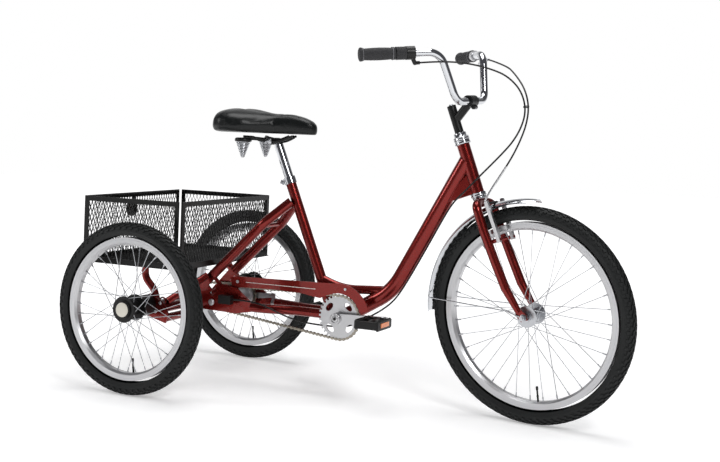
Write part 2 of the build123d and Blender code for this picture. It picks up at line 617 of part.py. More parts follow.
def build_rear_frame():
    shell_block = rod((BB.X, -BB_SHELL_WIDTH / 2, BB.Z), (BB.X, BB_SHELL_WIDTH / 2, BB.Z), BB_SHELL_R)
    bore = rod((BB.X, -50, BB.Z), (BB.X, 50, BB.Z), SPINDLE_R + RUN)
    cups = []
    for side in (-1, 1):
        cups.append(rod((BB.X, side * BB_SHELL_WIDTH / 2, BB.Z), (BB.X, side * (BB_SHELL_WIDTH / 2 + 3), BB.Z), 18))
    keep("bottom_bracket_shell", solid_group([shell_block - bore] + [cup - bore for cup in cups]))

    stays, seat_stays, plates = [], [], []
    seat = seat_tube_outer()
    for side in (-1, 1):
        y = side * STAY_Y
        # chain stay: from the hub plate's front edge in towards the bottom bracket
        near = side * (SEAT_TUBE_R + CHAIN_STAY_R + 0.3)
        line = [(PLATE_FRONT_X, y, BB_Z + 3), (290, y, BB_Z + 3), (390, near, BB_Z + 3), (BB.X, near, BB_Z + 3)]
        stay = bent(line, [160, 160], Circle(CHAIN_STAY_R) - Circle(CHAIN_STAY_R - 2))
        stay -= shell_block
        stay -= rod((BB.X, -60, BB.Z), (BB.X, 60, BB.Z), BB_SHELL_R + 0.1)
        stay -= Pos(BB.X + 30, 0, BB.Z) * Box(60, 200, 90)
        stays.append(largest(stay))
        # seat stay: up from the hub plate and in to the seat tube
        foot_x, foot_z = STAY_FOOT
        line = [(foot_x, y, foot_z), (STAY_KNEE[0], y, STAY_KNEE[1]), (352, side * 17, 573)]
        upper = bent(line, [70], Circle(STAY_R) - Circle(STAY_R - 2)) - seat
        seat_stays.append(largest(upper))
        # hub plate
        rise = Vector(STAY_KNEE[0] - foot_x, 0, STAY_KNEE[1] - foot_z).normalized() * STAY_R
        outline = [(22, 226), (22, 264), (foot_x - rise.Z, foot_z + rise.X), (foot_x + rise.Z, foot_z - rise.X),
                   (140, 308), (196, 300), (PLATE_FRONT_X, BB_Z + 3 + CHAIN_STAY_R),
                   (PLATE_FRONT_X, BB_Z + 3 - CHAIN_STAY_R), (196, 222)]
        plate = side_plate(outline, y + PLATE_T / 2, y - PLATE_T / 2)
        plate -= rod((HUB.X, y - 10, HUB.Z), (HUB.X, y + 10, HUB.Z), HUB_AXLE_R + 0.1)
        plate -= side_plate([(92, 300), (112, 320), (126, 304), (104, 288)], y + 10, y - 10)
        plate -= side_plate([(96, 276), (120, 296), (128, 284), (110, 268)], y + 10, y - 10)
        plates.append(plate)
    brace = rod((273, -STAY_Y + STAY_R, 495), (273, STAY_Y - STAY_R, 495), 7)
    keep("chain_stays", solid_group(stays))
    keep("seat_stays", solid_group(seat_stays + [brace - seat_stays[0] - seat_stays[1]]))
    keep("hub_dropouts", solid_group(plates))


END_PLATE_Y = HALF_TRACK - 88
BEAM = (36.0, 243.0)
LOWER_BEAM = (62.0, 219.0)
HOUSING_R = 31.0
HOUSING_END_Y = HALF_TRACK - 37
STRUT_R = 11.0
STRUT_FOOT_Y = HALF_TRACK - 135
HOOP_Y = HALF_TRACK - 107
HOOK_Y = HALF_TRACK - 121


def build_rear_carrier():
    pieces, housings, supports = [], [], []
    plate_face = STAY_Y + PLATE_T / 2
    for side in (-1, 1):
        beam = pipe((BEAM[0], side * plate_face, BEAM[1]), (BEAM[0], side * (END_PLATE_Y - 6), BEAM[1]), BEAM_R, BEAM_R - 2)
        lower = pipe((LOWER_BEAM[0], side * plate_face, LOWER_BEAM[1]),
                     (LOWER_BEAM[0], side * (END_PLATE_Y - 6), LOWER_BEAM[1]), LOWER_BEAM_R, LOWER_BEAM_R - 2)
        outline = [(-22, 230), (-22, 275), (8, 288), (60, 262), (78, 226), (66, 204), (20, 216)]
        near, far = side * END_PLATE_Y, side * (END_PLATE_Y - 6)
        plate = side_plate(outline, max(near, far), min(near, far))
        plate -= rod((0, side * 200, REAR_R), (0, side * 300, REAR_R), REAR_AXLE_R + 6)
        foot = (BEAM[0] + 2, side * STRUT_FOOT_Y, BEAM[1] + 18)
        head = (92, side * (STAY_Y + 12), 330)
        strut = pipe(foot, head, STRUT_R, STRUT_R - 2)
        strut -= rod((BEAM[0], side * 60, BEAM[1]), (BEAM[0], side * 260, BEAM[1]), BEAM_R)
        pieces += [beam, lower, plate, largest(strut)]
        housing = rod((0, side * END_PLATE_Y, REAR_R), (0, side * HOUSING_END_Y, REAR_R), HOUSING_R)
        housing -= rod((0, side * 200, REAR_R), (0, side * 320, REAR_R), REAR_AXLE_R + RUN)
        housings.append(housing)
        foot_z = BEAM[1] + BEAM_R
        hoop = [(BEAM[0] - 12, side * HOOP_Y, foot_z - 2), (BEAM[0] - 26, side * HOOP_Y, foot_z + 40),
                (BEAM[0] - 60, side * HOOP_Y, BASKET_FLOOR_Z - 34), (BEAM[0] - 62, side * HOOP_Y, BASKET_FLOOR_Z - 0.7)]
        hoop = bent(hoop, [40, 40], Circle(11) - Circle(9))
        hoop -= rod((BEAM[0], side * 60, BEAM[1]), (BEAM[0], side * 260, BEAM[1]), BEAM_R)
        hook_at = Vector(BEAM[0] - 4, side * HOOK_Y, foot_z + 7)
        hook = Pos(*hook_at) * Rot(90, 0, 0) * Torus(10, 2.5)
        hook -= rod((BEAM[0], side * 60, BEAM[1]), (BEAM[0], side * 260, BEAM[1]), BEAM_R)
        supports += [largest(hoop), largest(hook)]
    keep("rear_carrier", solid_group(pieces))
    keep("axle_housings", solid_group(housings))
    keep("basket_supports", solid_group(supports))


def build_seat():
    top = SEAT_TOP
    collar_top = top - SEAT_DOWN * 4
    collar = pipe((top + SEAT_DOWN * 14), collar_top, SEAT_TUBE_R + 3, SEAT_TUBE_R)
    collar_rim = pipe(collar_top, (collar_top - SEAT_DOWN * 3), SEAT_TUBE_R + 3, SEAT_POST_R + 0.4)
    lug_at = top + SEAT_DOWN * 6 + Vector(-SEAT_TUBE_R - 8, 0, -4)
    lug = Pos(*lug_at) * Rot(0, 90 - SEAT_ANGLE, 0) * Box(14, 16, 12)
    lug -= rod((top + SEAT_DOWN * 40), (top - SEAT_DOWN * 40), SEAT_TUBE_R)
    bolt = rod((lug_at.X - 1, -13, lug_at.Z), (lug_at.X - 1, 13, lug_at.Z), 3)
    keep("seat_collar", collar + collar_rim + lug + bolt)

    rise = (SEAT_POST_TOP_Z - top.Z) / -SEAT_DOWN.Z
    post_top = top - SEAT_DOWN * rise
    post = pipe((top + SEAT_DOWN * SEAT_POST_INSERT), post_top, SEAT_POST_R, SEAT_POST_R - SEAT_POST_WALL)
    post += rod(post_top, (post_top - SEAT_DOWN * 10), SEAT_POST_R - 1)
    clamp_at = post_top - SEAT_DOWN * 10 + Vector(-16, 0, 3)
    # the saddle's clamp rocks in a hollow across the post's top
    post -= rod((clamp_at.X, -30, clamp_at.Z), (clamp_at.X, 30, clamp_at.Z), CLAMP_R + RUN)
    keep("seat_post", post)
    build_saddle(clamp_at)


CLAMP_R = 11.0
SPRING_X = 205.0
SPRING_Y = 68.0
SPRING_TOP_Z = 759.0
SPRING_TIP_Z = 702.0
RAIL_Z = 767.0


def saddle_outline(inset):
    """Half widths of the saddle from the nose back to the rear edge."""
    stations = [(0.00, 0.05), (0.03, 0.14), (0.10, 0.20), (0.28, 0.24), (0.42, 0.36), (0.55, 0.62), (0.68, 0.88),
                (0.80, 1.00), (0.90, 0.97), (0.97, 0.78), (1.00, 0.45)]
    half = SADDLE_WIDTH / 2 - inset
    length = SADDLE_LENGTH - 2 * inset
    nose = SADDLE_NOSE_X - inset
    right = [(nose - length * t, -half * w) for t, w in stations]
    left = [(x, -y) for x, y in reversed(right)]
    return make_face(Polyline(*reversed(right + left), close=True).edges())


def build_saddle(clamp_at):
    side = (clamp_at.X, 0, clamp_at.Z)
    block = rod((side[0], -24, side[2]), (side[0], 24, side[2]), CLAMP_R)
    block += rod((side[0], -30, side[2]), (side[0], 30, side[2]), 6)
    rails = []
    for s in (-1, 1):
        y = s * 19
        line = [(SPRING_X, s * SPRING_Y, RAIL_Z), (SPRING_X + 20, s * (SPRING_Y - 22), RAIL_Z - 1),
                (side[0] - 20, y, side[2]), (side[0] + 26, y, side[2]), (345, s * 12, SADDLE_BASE_Z - RAIL_R - 0.6)]
        rails.append(bent(line, [12, 18, 18], Circle(RAIL_R)))
    keep("saddle_rails", solid_group([clamp_cut(block, rails)] + rails))
    up = (0, 0, 1)
    crown_z = SADDLE_SEAM_Z + 22
    base = Pos(0, 0, SADDLE_BASE_Z) * saddle_outline(9)
    keep("saddle_base", extrude(base, SADDLE_SEAM_Z - SADDLE_BASE_Z, dir=up))
    low = extrude(Pos(0, 0, SADDLE_SEAM_Z) * saddle_outline(0), crown_z - SADDLE_SEAM_Z, dir=up)
    shoulder, crest = Pos(0, 0, crown_z) * saddle_outline(0), Pos(0, 0, SADDLE_TOP_Z) * saddle_outline(CROWN_INSET)
    crown = loft([shoulder, crest], ruled=True)
    keep("saddle_pad", low + crown)
    springs = [cone_rod((SPRING_X, s * SPRING_Y, SPRING_TIP_Z), (SPRING_X, s * SPRING_Y, SPRING_TOP_Z), 8, 25)
               for s in (-1, 1)]
    keep("saddle_springs", solid_group(springs))


def clamp_cut(block, rails):
    for rail in rails:
        block -= rail
    return largest(block)


# ---------------------------------------------------------------- drive train
def sprocket(teeth, thickness, y, bore):
    """A toothed disc with its axis along Y, centred on the origin."""
    radius = pitch_radius(teeth)
    face = Circle(radius + 2.6) - Circle(bore)
    face -= PolarLocations(radius, teeth) * Circle(4.0)
    return Pos(0, y + thickness / 2, 0) * extrude(Plane.XZ * face, thickness)


def belt_face(centre_a, radius_a, centre_b, radius_b):
    """The outline of a belt round two circles in the X-Z plane, as a filled face."""
    gap_x, gap_z = centre_b[0] - centre_a[0], centre_b[1] - centre_a[1]
    distance = hypot(gap_x, gap_z)
    lean = atan2(gap_z, gap_x)
    spread = acos((radius_a - radius_b) / distance)
    corners = []
    for turn in (spread, -spread):
        for centre, radius in ((centre_a, radius_a), (centre_b, radius_b)):
            corners.append((centre[0] + radius * cos(lean + turn), centre[1] + radius * sin(lean + turn)))
    top_a, top_b, low_a, low_b = corners
    far_b = (centre_b[0] + radius_b * cos(lean), centre_b[1] + radius_b * sin(lean))
    far_a = (centre_a[0] - radius_a * cos(lean), centre_a[1] - radius_a * sin(lean))
    edges = [Line(top_a, top_b), ThreePointArc(top_b, far_b, low_b), Line(low_b, low_a),
             ThreePointArc(low_a, far_a, top_a)]
    return make_face([edge for piece in edges for edge in piece.edges()])


def chain(centre_a, teeth_a, centre_b, teeth_b, y):
    """A closed loop of chain as one channel: side plates and a back, open over the teeth."""
    r_a, r_b = pitch_radius(teeth_a), pitch_radius(teeth_b)

    def slab(outward, width):
        face = belt_face(centre_a, r_a + outward, centre_b, r_b + outward)
        return Pos(0, y + width / 2, 0) * extrude(Plane.XZ * face, width)

    return slab(4.6, 8) - slab(-4.4, 9) - slab(3.3, 4)


def build_drive():
    place = Pos(BB.X, 0, BB.Z) * Rot(0, -CRANK_AT_REST, 0)
    ring = sprocket(RING_TEETH, 3, FRONT_CHAIN_Y, 20)
    for angle in range(45, 405, 90):
        slot = Plane.XZ * Rot(0, 0, angle) * Pos(44, 0) * Ellipse(9, 15)
        ring -= Pos(0, FRONT_CHAIN_Y + 5, 0) * extrude(slot, 10)
    keep("chainring", place * ring)
    arms = []
    spindle = rod((0, -62, 0), (0, 62, 0), SPINDLE_R)
    spindle += rod((0, FRONT_CHAIN_Y + 4, 0), (0, FRONT_CHAIN_Y - 4, 0), 20) - rod((0, 60, 0), (0, -60, 0), SPINDLE_R)
    for side in (-1, 1):
        reach = -side * CRANK_LENGTH
        y_in, y_out = CRANK_Y, CRANK_Y + CRANK_T
        boss = rod((0, side * y_in, 0), (0, side * (y_out + 6), 0), 16)
        outline = [(0, -14), (reach * 0.9, -9), (reach * 1.07, -9), (reach * 1.07, 9), (reach * 0.9, 9), (0, 14)]
        y_a, y_b = side * y_in, side * y_out
        arm = side_plate(outline, max(y_a, y_b), min(y_a, y_b)) + boss
        arm -= rod((reach, side * 40, 0), (reach, side * 90, 0), 5.2)
        arms.append(arm)
    keep("crank_arms", place * (spindle + arms[0] + arms[1]))
    build_pedals()

    front_loop = chain((BB.X, BB.Z), RING_TEETH, (HUB.X, HUB.Z), HUB_TEETH_IN, FRONT_CHAIN_Y)
    keep("front_chain", front_loop)
    keep("rear_chain", chain((HUB.X, HUB.Z), HUB_TEETH_OUT, (0, REAR_R), AXLE_TEETH, REAR_CHAIN_Y))

    hub_place = Pos(HUB.X, 0, HUB.Z)
    shell = rod((0, -36, 0), (0, 30, 0), 27)
    shell += rod((0, -38, 0), (0, -34, 0), 35)
    shell += rod((0, 27, 0), (0, 31, 0), 35)
    shell += rod((0, FRONT_CHAIN_Y + 1, 0), (0, -36, 0), 20) + rod((0, 30, 0), (0, REAR_CHAIN_Y, 0), 20)
    shell += sprocket(HUB_TEETH_IN, 2.6, FRONT_CHAIN_Y, 1) + sprocket(HUB_TEETH_OUT, 2.6, REAR_CHAIN_Y, 1)
    shell -= rod((0, -60, 0), (0, 60, 0), HUB_AXLE_R + RUN)
    keep("gear_hub", hub_place * shell)

    inner = STAY_Y - PLATE_T / 2
    axle = rod((0, -STAY_Y - 14, 0), (0, STAY_Y + 14, 0), HUB_AXLE_R)
    for side in (-1, 1):
        axle += rod((0, side * (inner - 5), 0), (0, side * inner, 0), 9)
        nut = Plane(origin=(0, side * (STAY_Y + PLATE_T / 2), 0), z_dir=(0, side, 0))
        axle += extrude(nut * RegularPolygon(8.7, 6), 7)
    keep("hub_axle", hub_place * axle)

    rear = rod((0, -HALF_TRACK - 26, REAR_R), (0, HALF_TRACK + 26, REAR_R), REAR_AXLE_R)
    rear += Pos(0, 0, REAR_R) * sprocket(AXLE_TEETH, 2.6, REAR_CHAIN_Y, REAR_AXLE_R)
    rear += pipe((0, REAR_CHAIN_Y - 12, REAR_R), (0, REAR_CHAIN_Y - 1, REAR_R), 22, REAR_AXLE_R)
    keep("rear_axle", rear)

    # gear cable box on the hub's right end, and the brake reaction arm at its left
    box = Pos(HUB.X + 6, -STAY_Y - 24, HUB.Z + 2) * Box(44, 18, 26)
    box -= rod((HUB.X, -STAY_Y - 30, HUB.Z), (HUB.X, -STAY_Y, HUB.Z), 9.5)
    guide = rod((HUB.X + 28, -83, HUB.Z + 4), (HUB.X + 66.5, -83, HUB.Z + 5), 3)
    keep("shift_box", box + guide)
    arm_y = STAY_Y - PLATE_T / 2 - 5.5
    strap_z = BB_Z + 3
    arm = [(HUB.X + 10, HUB.Z - 10), (HUB.X + 10, HUB.Z + 10), (HUB.X + 104, 277), (HUB.X + 104, 264)]
    lever = side_plate(arm, arm_y, arm_y - 3)
    strap = pipe((HUB.X + 91, STAY_Y, strap_z), (HUB.X + 102, STAY_Y, strap_z), CHAIN_STAY_R + 1.5, CHAIN_STAY_R + 0.1)
    tab = Pos(HUB.X + 96.5, arm_y + 1.6, strap_z + CHAIN_STAY_R + 8) * Box(11, 3, 18)
    tab -= rod((HUB.X + 80, STAY_Y, strap_z), (HUB.X + 120, STAY_Y, strap_z), CHAIN_STAY_R + 0.5)
    keep("coaster_arm", solid_group([lever, strap + tab]))


def build_pedals():
    for name, side in (("pedal_right", -1), ("pedal_left", 1)):
        angle = radians(CRANK_AT_REST + (0 if side < 0 else 180))
        x, z = BB.X + CRANK_LENGTH * cos(angle), BB.Z + CRANK_LENGTH * sin(angle)
        y = side * PEDAL_Y
        spindle = rod((0, side * (CRANK_Y + 1), 0), (0, y + side * 40, 0), 5.15)
        cage = Pos(0, y, 0) * Box(75, 95, 28)
        cage -= Pos(23, y, 0) * Box(18, 60, 40)
        cage -= Pos(-23, y, 0) * Box(18, 60, 40)
        collar = rod((0, side * (CRANK_Y + CRANK_T + GAP), 0), (0, y - side * 46, 0), 8)
        keep(name, Pos(x, 0, z) * (spindle + collar + cage))


def build_guard():
    y_out, y_in = -52.0, -53.6
    outer_r, inner_r = 102.0, 72.0
    start, stop = 16.0, 112.0
    arc = [(BB.X + outer_r * cos(radians(a)), BB.Z + outer_r * sin(radians(a)))
           for a in range(int(start), int(stop), 8)]
    band_top = [(HUB.X + 290, 341), (HUB.X + 30, 335), (HUB.X + 2, 331)]
    band_low = [(HUB.X + 10, 294), (HUB.X + 42, 302), (HUB.X + 148, 306), (HUB.X + 252, 304),
                (HUB.X + 316, 295), (HUB.X + 334, 304)]
    inside = [(BB.X + inner_r * cos(radians(a)), BB.Z + inner_r * sin(radians(a)))
              for a in range(104, int(start) - 1, -8)]
    face_points = arc + band_top + band_low + inside
    plate = side_plate(face_points, y_out, y_in)
    keep("chainguard", plate)


# ---------------------------------------------------------------- basket and small pieces
def basket_panel(width, height):
    """A framed mesh panel in the X-Z plane, outer face at Y = 0, centred on the origin."""
    frame = Rectangle(width, height) - Rectangle(width - 2 * ANGLE_WIDTH, height - 2 * ANGLE_WIDTH)
    ring = extrude(Plane.XZ * frame, ANGLE_T)
    mesh = extrude(Plane.XZ * Rectangle(width - 4, height - 4), MESH_T)
    return Pos(0, ANGLE_T, 0) * ring + Pos(0, ANGLE_T + MESH_T, 0) * mesh


def build_basket():
    length = BASKET_FRONT_X - BASKET_REAR_X
    mid_x = (BASKET_FRONT_X + BASKET_REAR_X) / 2
    mid_z = BASKET_FLOOR_Z + ANGLE_T + BASKET_HEIGHT / 2
    panels = []
    side_panel = basket_panel(length - 2 * BASKET_CORNER_GAP, BASKET_HEIGHT)
    end_panel = basket_panel(BASKET_WIDTH - 2 * BASKET_CORNER_GAP, BASKET_HEIGHT)
    panels.append(Pos(mid_x, -BASKET_WIDTH / 2, mid_z) * side_panel)
    panels.append(Pos(mid_x, BASKET_WIDTH / 2, mid_z) * Rot(0, 0, 180) * side_panel)
    panels.append(Pos(BASKET_FRONT_X, 0, mid_z) * Rot(0, 0, 90) * end_panel)
    panels.append(Pos(BASKET_REAR_X, 0, mid_z) * Rot(0, 0, -90) * end_panel)
    keep("basket_panels", solid_group(panels))
    outer = Rectangle(length, BASKET_WIDTH) - Rectangle(length - 2 * ANGLE_WIDTH, BASKET_WIDTH - 2 * ANGLE_WIDTH)
    frame = extrude(outer, ANGLE_T)
    bars = Pos(0, 120, 0) * Box(length, 12, ANGLE_T, align=(Align.CENTER, Align.CENTER, Align.MIN))
    bars += Pos(0, -120, 0) * Box(length, 12, ANGLE_T, align=(Align.CENTER, Align.CENTER, Align.MIN))
    sheet = Pos(0, 0, ANGLE_T) * extrude(Rectangle(length - 12, BASKET_WIDTH - 12), MESH_T)
    keep("basket_floor", Pos(mid_x, 0, BASKET_FLOOR_Z) * (frame + bars + sheet))

    lamp = rod((BASKET_REAR_X - 4, 0, 515), (BASKET_REAR_X - 13, 0, 515), 26)
    bracket = Pos(BASKET_REAR_X - 2, 0, 530) * Box(3.9, 22, 62)
    keep("rear_reflector", solid_group([lamp, bracket]))


def build_fasteners():
    bolts = []
    for side in (-1, 1):
        face = side * (STAY_Y + PLATE_T / 2)
        bolts.append(rod((108, face, 249), (108, face + side * 5, 249), 10))
        for y_bolt in (200, 80):
            bolts.append(rod((BASKET_FRONT_X - 30, side * y_bolt, BASKET_FLOOR_Z - 7),
                             (BASKET_FRONT_X - 30, side * y_bolt, BASKET_FLOOR_Z), 5))
            bolts.append(rod((BASKET_REAR_X + 60, side * y_bolt, BASKET_FLOOR_Z - 7),
                             (BASKET_REAR_X + 60, side * y_bolt, BASKET_FLOOR_Z), 5))
    bolts.append(rod((HUB.X + 29, -53.6, 319), (HUB.X + 29, -56.5, 319), 5))
    bolts.append(rod((BB.X + 20, -53.6, BB.Z + 86), (BB.X + 20, -56, BB.Z + 86), 4))
    keep("fasteners", solid_group(bolts))


def build_headset():
    lower = HEAD * pipe((0, 0, -HEADSET_CUP), (0, 0, 0), 21, STEERER_R + GAP)
    upper = HEAD * pipe((0, 0, HEAD_TUBE_LENGTH), (0, 0, HEAD_TUBE_LENGTH + HEADSET_CUP), 22, STEERER_R + GAP)
    keep("headset_cups", solid_group([lower, upper]))


def main():
    build_wheels()
    build_fork()
    build_fender()
    build_bars()
    build_cables()
    for name, side in (("brake_arm_left", 1), ("brake_arm_right", -1)):
        keep_steered(name, brake_arm(side))
    build_headset()
    build_front_triangle()
    build_rear_frame()
    build_rear_carrier()
    build_seat()
    build_drive()
    build_guard()
    build_basket()
    build_fasteners()

    spin = Axis(HEAD_FOOT, HEAD_UP)
    for name in STEERED:
        PARTS[name] = PARTS[name].rotate(spin, STEER_AT_REST)
    boxes = [shape.bounding_box() for shape in PARTS.values()]
    mid_x = (min(box.min.X for box in boxes) + max(box.max.X for box in boxes)) / 2
    mid_y = (min(box.min.Y for box in boxes) + max(box.max.Y for box in boxes)) / 2
    low_z = min(box.min.Z for box in boxes)
    print("moved by", round(-mid_x, 3), round(-mid_y, 3), round(-low_z, 3))
    os.makedirs("parts", exist_ok=True)
    for name, shape in PARTS.items():
        export_step(Pos(-mid_x, -mid_y, -low_z) * shape, "parts/" + name + ".step")


main()
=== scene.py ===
import json
from math import acos, atan2, cos, degrees, hypot, pi, radians, sin, sqrt

import bpy
from mathutils import Matrix, Vector


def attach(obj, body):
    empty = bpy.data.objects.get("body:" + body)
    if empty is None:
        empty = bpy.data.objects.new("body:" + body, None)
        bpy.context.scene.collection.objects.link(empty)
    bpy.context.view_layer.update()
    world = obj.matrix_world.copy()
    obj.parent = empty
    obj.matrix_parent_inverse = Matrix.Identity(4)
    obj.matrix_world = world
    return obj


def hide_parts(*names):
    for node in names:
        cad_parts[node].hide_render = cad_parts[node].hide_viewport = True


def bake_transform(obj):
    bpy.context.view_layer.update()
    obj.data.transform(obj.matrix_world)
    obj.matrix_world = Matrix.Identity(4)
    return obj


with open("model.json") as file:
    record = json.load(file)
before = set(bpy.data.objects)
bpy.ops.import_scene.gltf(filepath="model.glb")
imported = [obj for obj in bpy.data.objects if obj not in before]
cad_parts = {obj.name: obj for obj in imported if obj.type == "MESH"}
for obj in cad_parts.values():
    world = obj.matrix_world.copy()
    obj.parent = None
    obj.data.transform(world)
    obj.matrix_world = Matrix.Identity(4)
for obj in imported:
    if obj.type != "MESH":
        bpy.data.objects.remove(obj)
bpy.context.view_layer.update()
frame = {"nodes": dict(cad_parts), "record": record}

# Adult tricycle. Lengths below are in millimetres in the part's own building frame: X forward from the
# rear axle, Y to the rider's left, Z up from the floor. at() turns them into the shared frame in metres.
MM = 0.001
SHIFT_X = -580.423
FLANGE_FRONT, FLANGE_REAR = 259.5, 209.0      # rim edge radii
TYRE_A = 24.5
CASING = 19.5                                 # casing centre outside the rim edge
REAR_R = FLANGE_REAR + CASING + TYRE_A
FRONT_R = FLANGE_FRONT + CASING + TYRE_A
HALF_TRACK = 338.0
PITCH = 12.7
TILT = radians(20.24)
HEAD_UP = Vector((-sin(TILT), 0, cos(TILT)))
HEAD_FORWARD = Vector((cos(TILT), 0, sin(TILT)))
RAKE, ABOVE_AXLE = 46.3, 368.2
HEAD_FOOT = Vector((1119.5, 0, FRONT_R)) - HEAD_FORWARD * RAKE + HEAD_UP * ABOVE_AXLE
HUB_Z, BB_Z = 263.0, 243.0
GUARD_Y = -52.0


def at(x, y, z):
    return Vector(((x + SHIFT_X) * MM, y * MM, z * MM))


TURN = Matrix.Rotation(radians(-7), 3, HEAD_UP)
COLUMNS = [TURN @ HEAD_FORWARD, TURN @ Vector((0, 1, 0)), HEAD_UP]
STEER = Matrix.Translation(at(*HEAD_FOOT)) @ Matrix(COLUMNS).transposed().to_4x4()


def steered(x, y, z):
    """A point given ahead of, left of and up the head axis, from the foot of the head tube."""
    return STEER @ (Vector((x, y, z)) * MM)


def chain_centres(links, a, b):
    straight = links - (a + b) / 2
    return PITCH / 4 * (straight + sqrt(straight ** 2 - 8 * ((a - b) / (2 * pi)) ** 2))


HUB_X = sqrt(chain_centres(44, 18, 18) ** 2 - (HUB_Z - REAR_R) ** 2)
BB_X = HUB_X + sqrt(chain_centres(86, 32, 20) ** 2 - (HUB_Z - BB_Z) ** 2)


# ---------------------------------------------------------------- materials
def new_material(name, colour, rough, metal=0.0, coat=0.0, grain=0.0, grain_scale=300.0, worn=0.06):
    """A principled surface with noise in its bump and its roughness."""
    made = bpy.data.materials.new(name)
    made.use_nodes = True
    nodes, links = made.node_tree.nodes, made.node_tree.links
    shader = nodes["Principled BSDF"]
    shader.inputs["Base Color"].default_value = (*colour, 1)
    shader.inputs["Metallic"].default_value = metal
    shader.inputs["Roughness"].default_value = rough
    shader.inputs["Coat Weight"].default_value = coat
    shader.inputs["Coat Roughness"].default_value = 0.04
    place = nodes.new("ShaderNodeTexCoord")
    noise = nodes.new("ShaderNodeTexNoise")
    noise.inputs["Scale"].default_value = 14.0
    noise.inputs["Detail"].default_value = 6.0
    links.new(place.outputs["Object"], noise.inputs["Vector"])
    spread = nodes.new("ShaderNodeMapRange")
    spread.inputs["To Min"].default_value = max(0.02, rough - worn)
    spread.inputs["To Max"].default_value = min(1.0, rough + worn)
    links.new(noise.outputs["Fac"], spread.inputs["Value"])
    links.new(spread.outputs["Result"], shader.inputs["Roughness"])
    if grain:
        fine = nodes.new("ShaderNodeTexNoise")
        fine.inputs["Scale"].default_value = grain_scale
        fine.inputs["Detail"].default_value = 3.0
        links.new(place.outputs["Object"], fine.inputs["Vector"])
        bump = nodes.new("ShaderNodeBump")
        bump.inputs["Strength"].default_value = grain
        bump.inputs["Distance"].default_value = 0.001
        links.new(fine.outputs["Fac"], bump.inputs["Height"])
        links.new(bump.outputs["Normal"], shader.inputs["Normal"])
    return made


def flake(made, dark, light, scale=2400.0):
    """Metal flakes under a clear coat: tiny cells between two shades."""
    nodes, links = made.node_tree.nodes, made.node_tree.links
    cells = nodes.new("ShaderNodeTexVoronoi")
    cells.inputs["Scale"].default_value = scale
    place = next(n for n in nodes if n.type == "TEX_COORD")
    links.new(place.outputs["Object"], cells.inputs["Vector"])
    ramp = nodes.new("ShaderNodeValToRGB")
    ramp.color_ramp.elements[0].color = (*dark, 1)
    ramp.color_ramp.elements[1].color = (*light, 1)
    links.new(cells.outputs["Distance"], ramp.inputs["Fac"])
    links.new(ramp.outputs["Color"], nodes["Principled BSDF"].inputs["Base Color"])
    return made


PAINT = flake(new_material("candy_red", (0.2, 0.006, 0.006), 0.27, metal=0.85, coat=0.35, worn=0.04),
              (0.13, 0.006, 0.005), (0.25, 0.017, 0.012))
CHROME = new_material("chrome_plate", (0.56, 0.57, 0.59), 0.09, metal=1.0, worn=0.03)
ALLOY = new_material("satin_alloy", (0.55, 0.55, 0.56), 0.36, metal=1.0, grain=0.05, grain_scale=900)
STEEL = new_material("zinc_steel", (0.5, 0.51, 0.53), 0.3, metal=1.0, grain=0.08, grain_scale=700)
BLACK_METAL = new_material("black_powder_coat", (0.004, 0.004, 0.004), 0.38, coat=0.0, grain=0.12, grain_scale=900)
RUBBER = new_material("tyre_rubber", (0.009, 0.010, 0.010), 0.6, grain=0.25, grain_scale=500, worn=0.1)
GRIP = new_material("grip_rubber", (0.03, 0.03, 0.032), 0.66, grain=0.4, grain_scale=700)
GRIP_EDGE = new_material("grip_edge", (0.16, 0.16, 0.17), 0.5, grain=0.2, grain_scale=700)
PLASTIC = new_material("black_plastic", (0.006, 0.006, 0.006), 0.38, grain=0.15, grain_scale=1100)
CHAIN = new_material("chain_steel", (0.34, 0.31, 0.26), 0.34, metal=1.0, grain=0.1, grain_scale=800)
VINYL = new_material("saddle_vinyl", (0.004, 0.005, 0.005), 0.34, grain=0.35, grain_scale=420)
HOUSING = new_material("cable_housing", (0.005, 0.005, 0.005), 0.3, grain=0.05)
CREAM = new_material("cream_plastic", (0.72, 0.69, 0.60), 0.4, grain=0.05)
AMBER = new_material("amber_reflector", (0.85, 0.20, 0.02), 0.15, coat=0.6, grain=0.6, grain_scale=260)
LENS = new_material("dark_lens", (0.05, 0.004, 0.006), 0.12, coat=1.0, grain=0.5, grain_scale=220)
STRIPE = new_material("pale_line", (0.75, 0.72, 0.68), 0.45, grain=0.05)

BY_SLOT = {"frame_paint": PAINT, "chrome": CHROME, "aluminium": ALLOY, "spoke_steel": STEEL,
           "black_metal": BLACK_METAL, "tyre_rubber": RUBBER, "grip_rubber": GRIP, "black_plastic": PLASTIC,
           "chain_steel": CHAIN, "saddle_cover": VINYL, "cable_housing": HOUSING, "reflector": LENS}
for entry in frame["record"]["subparts"]:
    node = frame["nodes"][entry["node"]]
    node.data.materials.clear()
    node.data.materials.append(BY_SLOT[entry["material_slot"]])


for surface in (RUBBER, BLACK_METAL, VINYL, PLASTIC, HOUSING, GRIP):
    surface.node_tree.nodes["Principled BSDF"].inputs["Specular IOR Level"].default_value = 0.3
frame["nodes"]["front_hub"].data.materials[0] = STEEL


for node in frame["nodes"].values():
    node.data.shade_smooth()
    split = node.modifiers.new("creases", "EDGE_SPLIT")
    split.split_angle = radians(32)


# ---------------------------------------------------------------- geometry helpers
def show(obj, surface, body, smooth=True):
    obj.data.materials.append(surface)
    if obj.type == "MESH" and smooth:
        obj.data.shade_smooth()
    if body:
        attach(obj, body)
    return obj


def mesh_piece(name, points, faces, place=None):
    mesh = bpy.data.meshes.new(name)
    mesh.from_pydata([tuple(p) for p in points], [], faces)
    mesh.update()
    if place is not None:
        mesh.transform(place)
    obj = bpy.data.objects.new(name, mesh)
    bpy.context.scene.collection.objects.link(obj)
    return obj


